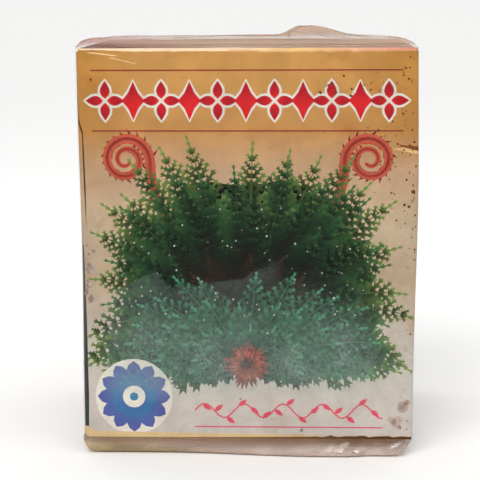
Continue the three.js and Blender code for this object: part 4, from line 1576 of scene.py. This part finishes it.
def back_lap():
    """The sleeve's overlap up the middle of the back, heat-sealed along its length."""
    rows, columns = 70, 9
    zs = np.linspace(PANEL_FOOT + 2.0, FILM_HEIGHT - 3.0, rows)
    xs = np.linspace(-LAP_HALF, LAP_HALF, columns)
    flat = np.array([(x + 0.12 * math.sin(0.5 * z), FILM_DEPTH / 2, z) for z in zs for x in xs])
    shaped = film_shape(flat)
    edge = smoothstep(np.abs(flat[:, 0]), LAP_HALF - 1.2, LAP_HALF)
    shaped[:, 1] += 0.07 + 0.12 * edge * np.abs(noise_at(flat, 0.2, 12.0))
    film_sheet("film_back_lap", flat, shaped, grid_faces(rows, columns, True))


# ---------- the dried plant ----------

PLANT_X, PLANT_Y, PLANT_HEIGHT = 25.0, 21.6, 46.0
PLANT_BASE = 1.7
PLANT_CENTRE = np.array([0.0, 0.0, PLANT_BASE + 0.8 + PLANT_HEIGHT / 2])
PLANT_FRONDS = 44
PLANT_LAYERS = ((1.1, 0.97), (1.38, 0.88), (0.9, 0.79), (1.25, 0.68))  # a frond's end as an angle, its size
FROND_POINTS = 34  # along its rib; from the fourth on, every second one has a pair of leaflets
SCALES = 4  # on each leaflet
CROWN = ((0.0, 5.2), (0.9, 7.6), (3.2, 6.4), (6.5, 6.9), (9.5, 5.0))  # the root crown: height and radius


def dry_frond():
    """Dry, scaly fronds: russet and straw-brown, weathered in places, and dark at the root crown."""
    n = Nodes("dry_frond")
    tone = n.mix(n.ramp(n.noise(240, 4, 0.6), 0.3, 0.7), rgba(74, 40, 24), rgba(150, 92, 50))
    aged = n.mix(n.ramp(n.noise(60, 3), 0.45, 0.7, 0, 0.7), tone, rgba(112, 104, 62))
    low_down = n.ramp(n.parts(n.place)["Z"], 0.004, 0.016, 0.35, 1.0)
    n.set(
        Base_Color=n.mix(1.0, aged, low_down, "MULTIPLY"),
        Roughness=0.85,
        Normal=n.bump(n.noise(2200, 4, 0.65), 0.00025, 0.7),
    )
    return n.material


def closed_rings(rings):
    """A closed tube through rings of points."""
    count, sides = rings.shape[:2]
    faces = []
    for i in range(count - 1):
        for k in range(sides):
            a, b = i * sides + k, i * sides + (k + 1) % sides
            faces.append([a, b, b + sides, a + sides])
    faces.append(list(range(sides))[::-1])
    faces.append([(count - 1) * sides + k for k in range(sides)])
    return rings.reshape(-1, 3), faces


def tube_along(line, radii, sides):
    along = unit(np.gradient(line, axis=0))
    first = unit(np.cross(along, np.array([0.31, 0.42, 0.85])))
    second = np.cross(along, first)
    angles = 2 * math.pi * np.arange(sides) / sides
    rings = [line + radii[:, None] * (math.cos(a) * first + math.sin(a) * second) for a in angles]
    return closed_rings(np.stack(rings, 1))


def blade(root, along, side, up, length, width):
    """A small pointed scale: a four-sided blade with a keel."""
    points = np.array([
        root,
        root + 0.45 * length * along + width / 2 * side,
        root + length * along - 0.12 * length * up,
        root + 0.45 * length * along - width / 2 * side,
        root + 0.4 * length * along + 0.22 * width * up,
        root + 0.4 * length * along - 0.16 * width * up,
    ])
    faces = [[0, 1, 4], [1, 2, 4], [2, 3, 4], [3, 0, 4], [1, 0, 5], [2, 1, 5], [3, 2, 5], [0, 3, 5]]
    return points, faces


def frond_line(turn, reach, size, twist, steps):
    """Where a frond's rib runs: out of the crown, up round the ball, and curled in over its top."""
    s = np.linspace(0, 1, steps)
    rise = mix(-1.25, reach, s)
    draw = size * (1 - 0.24 * smoothstep(s, 0.7, 1))
    angle = turn + twist * s * s
    return PLANT_CENTRE + np.stack([
        np.cos(rise) * np.cos(angle) * PLANT_X * draw,
        np.cos(rise) * np.sin(angle) * PLANT_Y * draw,
        np.sin(rise) * draw * PLANT_HEIGHT / 2,
    ], 1)


def dried_frond(line, rng):
    """A frond along its rib's line: the rib, and pairs of leaflets made of overlapping scales."""
    parts = [tube_along(line, np.linspace(0.9, 0.28, len(line)), 5)]
    along = unit(np.gradient(line, axis=0))
    for k in range(3, len(line), 2):
        out = unit(line[k] - PLANT_CENTRE)
        across = unit(np.cross(along[k], out))
        up = np.cross(across, along[k])
        spread = 3.7 * math.sin(math.pi * (0.12 + 0.8 * k / len(line))) * rng.uniform(0.85, 1.15)
        for hand in (-1, 1):
            outward = unit(0.62 * along[k] + 0.78 * hand * across - 0.2 * up)
            for scale in range(SCALES):
                root = line[k] + spread * (0.08 + 0.23 * scale) * outward
                lean = 0.55 * (-1 if scale % 2 else 1)
                way = unit(outward + lean * np.cross(up, outward))
                parts.append(blade(root, way, np.cross(up, way), up, spread * 0.42 + 0.5, 0.95))
    return parts


def root_crown():
    angles = 2 * math.pi * np.arange(28) / 28
    rings = []
    for height, radius in CROWN:
        knots = radius * (1 + 0.1 * np.sin(5 * angles + height) + 0.06 * np.sin(11 * angles))
        level = np.full(len(angles), PLANT_BASE + height)
        rings.append(np.stack([knots * np.cos(angles), knots * np.sin(angles), level], 1))
    return closed_rings(np.array(rings))


def dried_plant():
    rng = random.Random(20)
    parts = []
    for i in range(PLANT_FRONDS):
        reach, size = PLANT_LAYERS[i % len(PLANT_LAYERS)]
        turn = 2 * math.pi * (i + rng.uniform(0, 0.4)) / PLANT_FRONDS
        reach += rng.uniform(0, 0.14)
        twist = rng.uniform(-0.18, 0.18)
        line = frond_line(turn, reach, size, twist, FROND_POINTS)
        parts += dried_frond(line, rng)
    parts.append(root_crown())
    faces, count = [], 0
    for part_points, part_faces in parts:
        faces += [[v + count for v in face] for face in part_faces]
        count += len(part_points)
    points = np.concatenate([part_points for part_points, _ in parts])
    mesh_piece("dried_plant_fronds", points, faces, dry_frond(), "dry_frond", "dried_plant")


# ---------- stage ----------

# The camera looks at the middle of the front from a little above and to the right.
VIEW_TARGET = Vector((-1.46, -28.5, 50.35)) * MM
VIEW_DISTANCE = 325.8 * MM
VIEW_AZIMUTH, VIEW_ELEVATION, VIEW_ROLL = 2.31, 9.77, -0.26  # degrees
LENS = 108.75
FLOOR_HALF = 40.0  # metres


def towards_middle(azimuth, elevation):
    """The direction to the middle from round about: azimuth 0 is straight in front, and it grows to the
    right."""
    a, e = math.radians(azimuth), math.radians(elevation)
    return Vector((-math.sin(a) * math.cos(e), math.cos(a) * math.cos(e), -math.sin(e)))


def looking(direction, at=(0, 0, 0)):
    """A place for a camera or a light, turned to look along a direction."""
    return Matrix.Translation(at) @ direction.to_track_quat("-Z", "Y").to_matrix().to_4x4()


def camera():
    data = bpy.data.cameras.new("camera")
    data.lens = LENS
    data.sensor_width = 36.0
    data.clip_start = 0.01
    ahead = towards_middle(VIEW_AZIMUTH, VIEW_ELEVATION)
    roll = Matrix.Rotation(math.radians(VIEW_ROLL), 4, "Z")
    place = looking(ahead, VIEW_TARGET - VIEW_DISTANCE * ahead) @ roll
    bpy.context.scene.camera = new_object("camera", data, place)


def softbox(name, at, aim, width, height, power):
    data = bpy.data.lights.new(name, "AREA")
    data.shape = "RECTANGLE"
    data.size, data.size_y = width, height
    data.energy = power
    new_object(name, data, looking(Vector(aim) - Vector(at), at))


def sun(name, azimuth, elevation, spread, strength, colour=(1, 1, 1)):
    """A broad even light from far away."""
    data = bpy.data.lights.new(name, "SUN")
    data.energy, data.angle, data.color = strength, math.radians(spread), colour
    new_object(name, data, looking(towards_middle(azimuth, elevation)))


def studio():
    world = bpy.data.worlds.new("studio")
    world.use_nodes = True
    world.node_tree.nodes["Background"].inputs["Color"].default_value = (1, 1, 1, 1)
    world.node_tree.nodes["Background"].inputs["Strength"].default_value = 0.5
    bpy.context.scene.world = world
    sun("key", azimuth=-25, elevation=42, spread=40, strength=1.5, colour=(1.0, 0.985, 0.96))
    sun("fill", azimuth=40, elevation=50, spread=60, strength=0.7)
    softbox("edge_light", at=(0.0, 0.12, 0.6), aim=(0, 0, 0.05), width=0.5, height=0.2, power=0.8)
    bpy.context.scene.view_settings.view_transform = "Standard"


def floor():
    n = Nodes("pale_floor")
    n.set(Base_Color=n.mix(n.noise(40, 3), (0.96, 0.96, 0.96, 1), (0.98, 0.98, 0.98, 1)), Roughness=0.7)
    mesh = bpy.data.meshes.new("floor")
    edge = band(-FLOOR_HALF, FLOOR_HALF, -FLOOR_HALF, FLOOR_HALF)
    mesh.from_pydata([(x, y, 0) for x, y in edge], [], [(0, 1, 2, 3)])
    mesh.materials.append(n.material)
    plane = new_object("floor", mesh)


camera()
studio()
floor()
BOARD_MATERIAL = printed_board()
walls()
lid()
bottom()
for flap_side, side_name in ((-1, "left"), (1, "right")):
    dust_flap(f"dust_flap_top_{side_name}", flap_side, True)
    dust_flap(f"dust_flap_bottom_{side_name}", flap_side, False)
glue_flap()
dried_plant()
FILM_MATERIAL = clear_film()
film_wrap()
for box_end, is_top in (("top", True), ("bottom", False)):
    for flap_name, flap_edge, flap_lift in END_FLAPS:
        end_flap(f"film_{box_end}_{flap_name}", flap_edge, is_top, flap_lift)
back_lap()
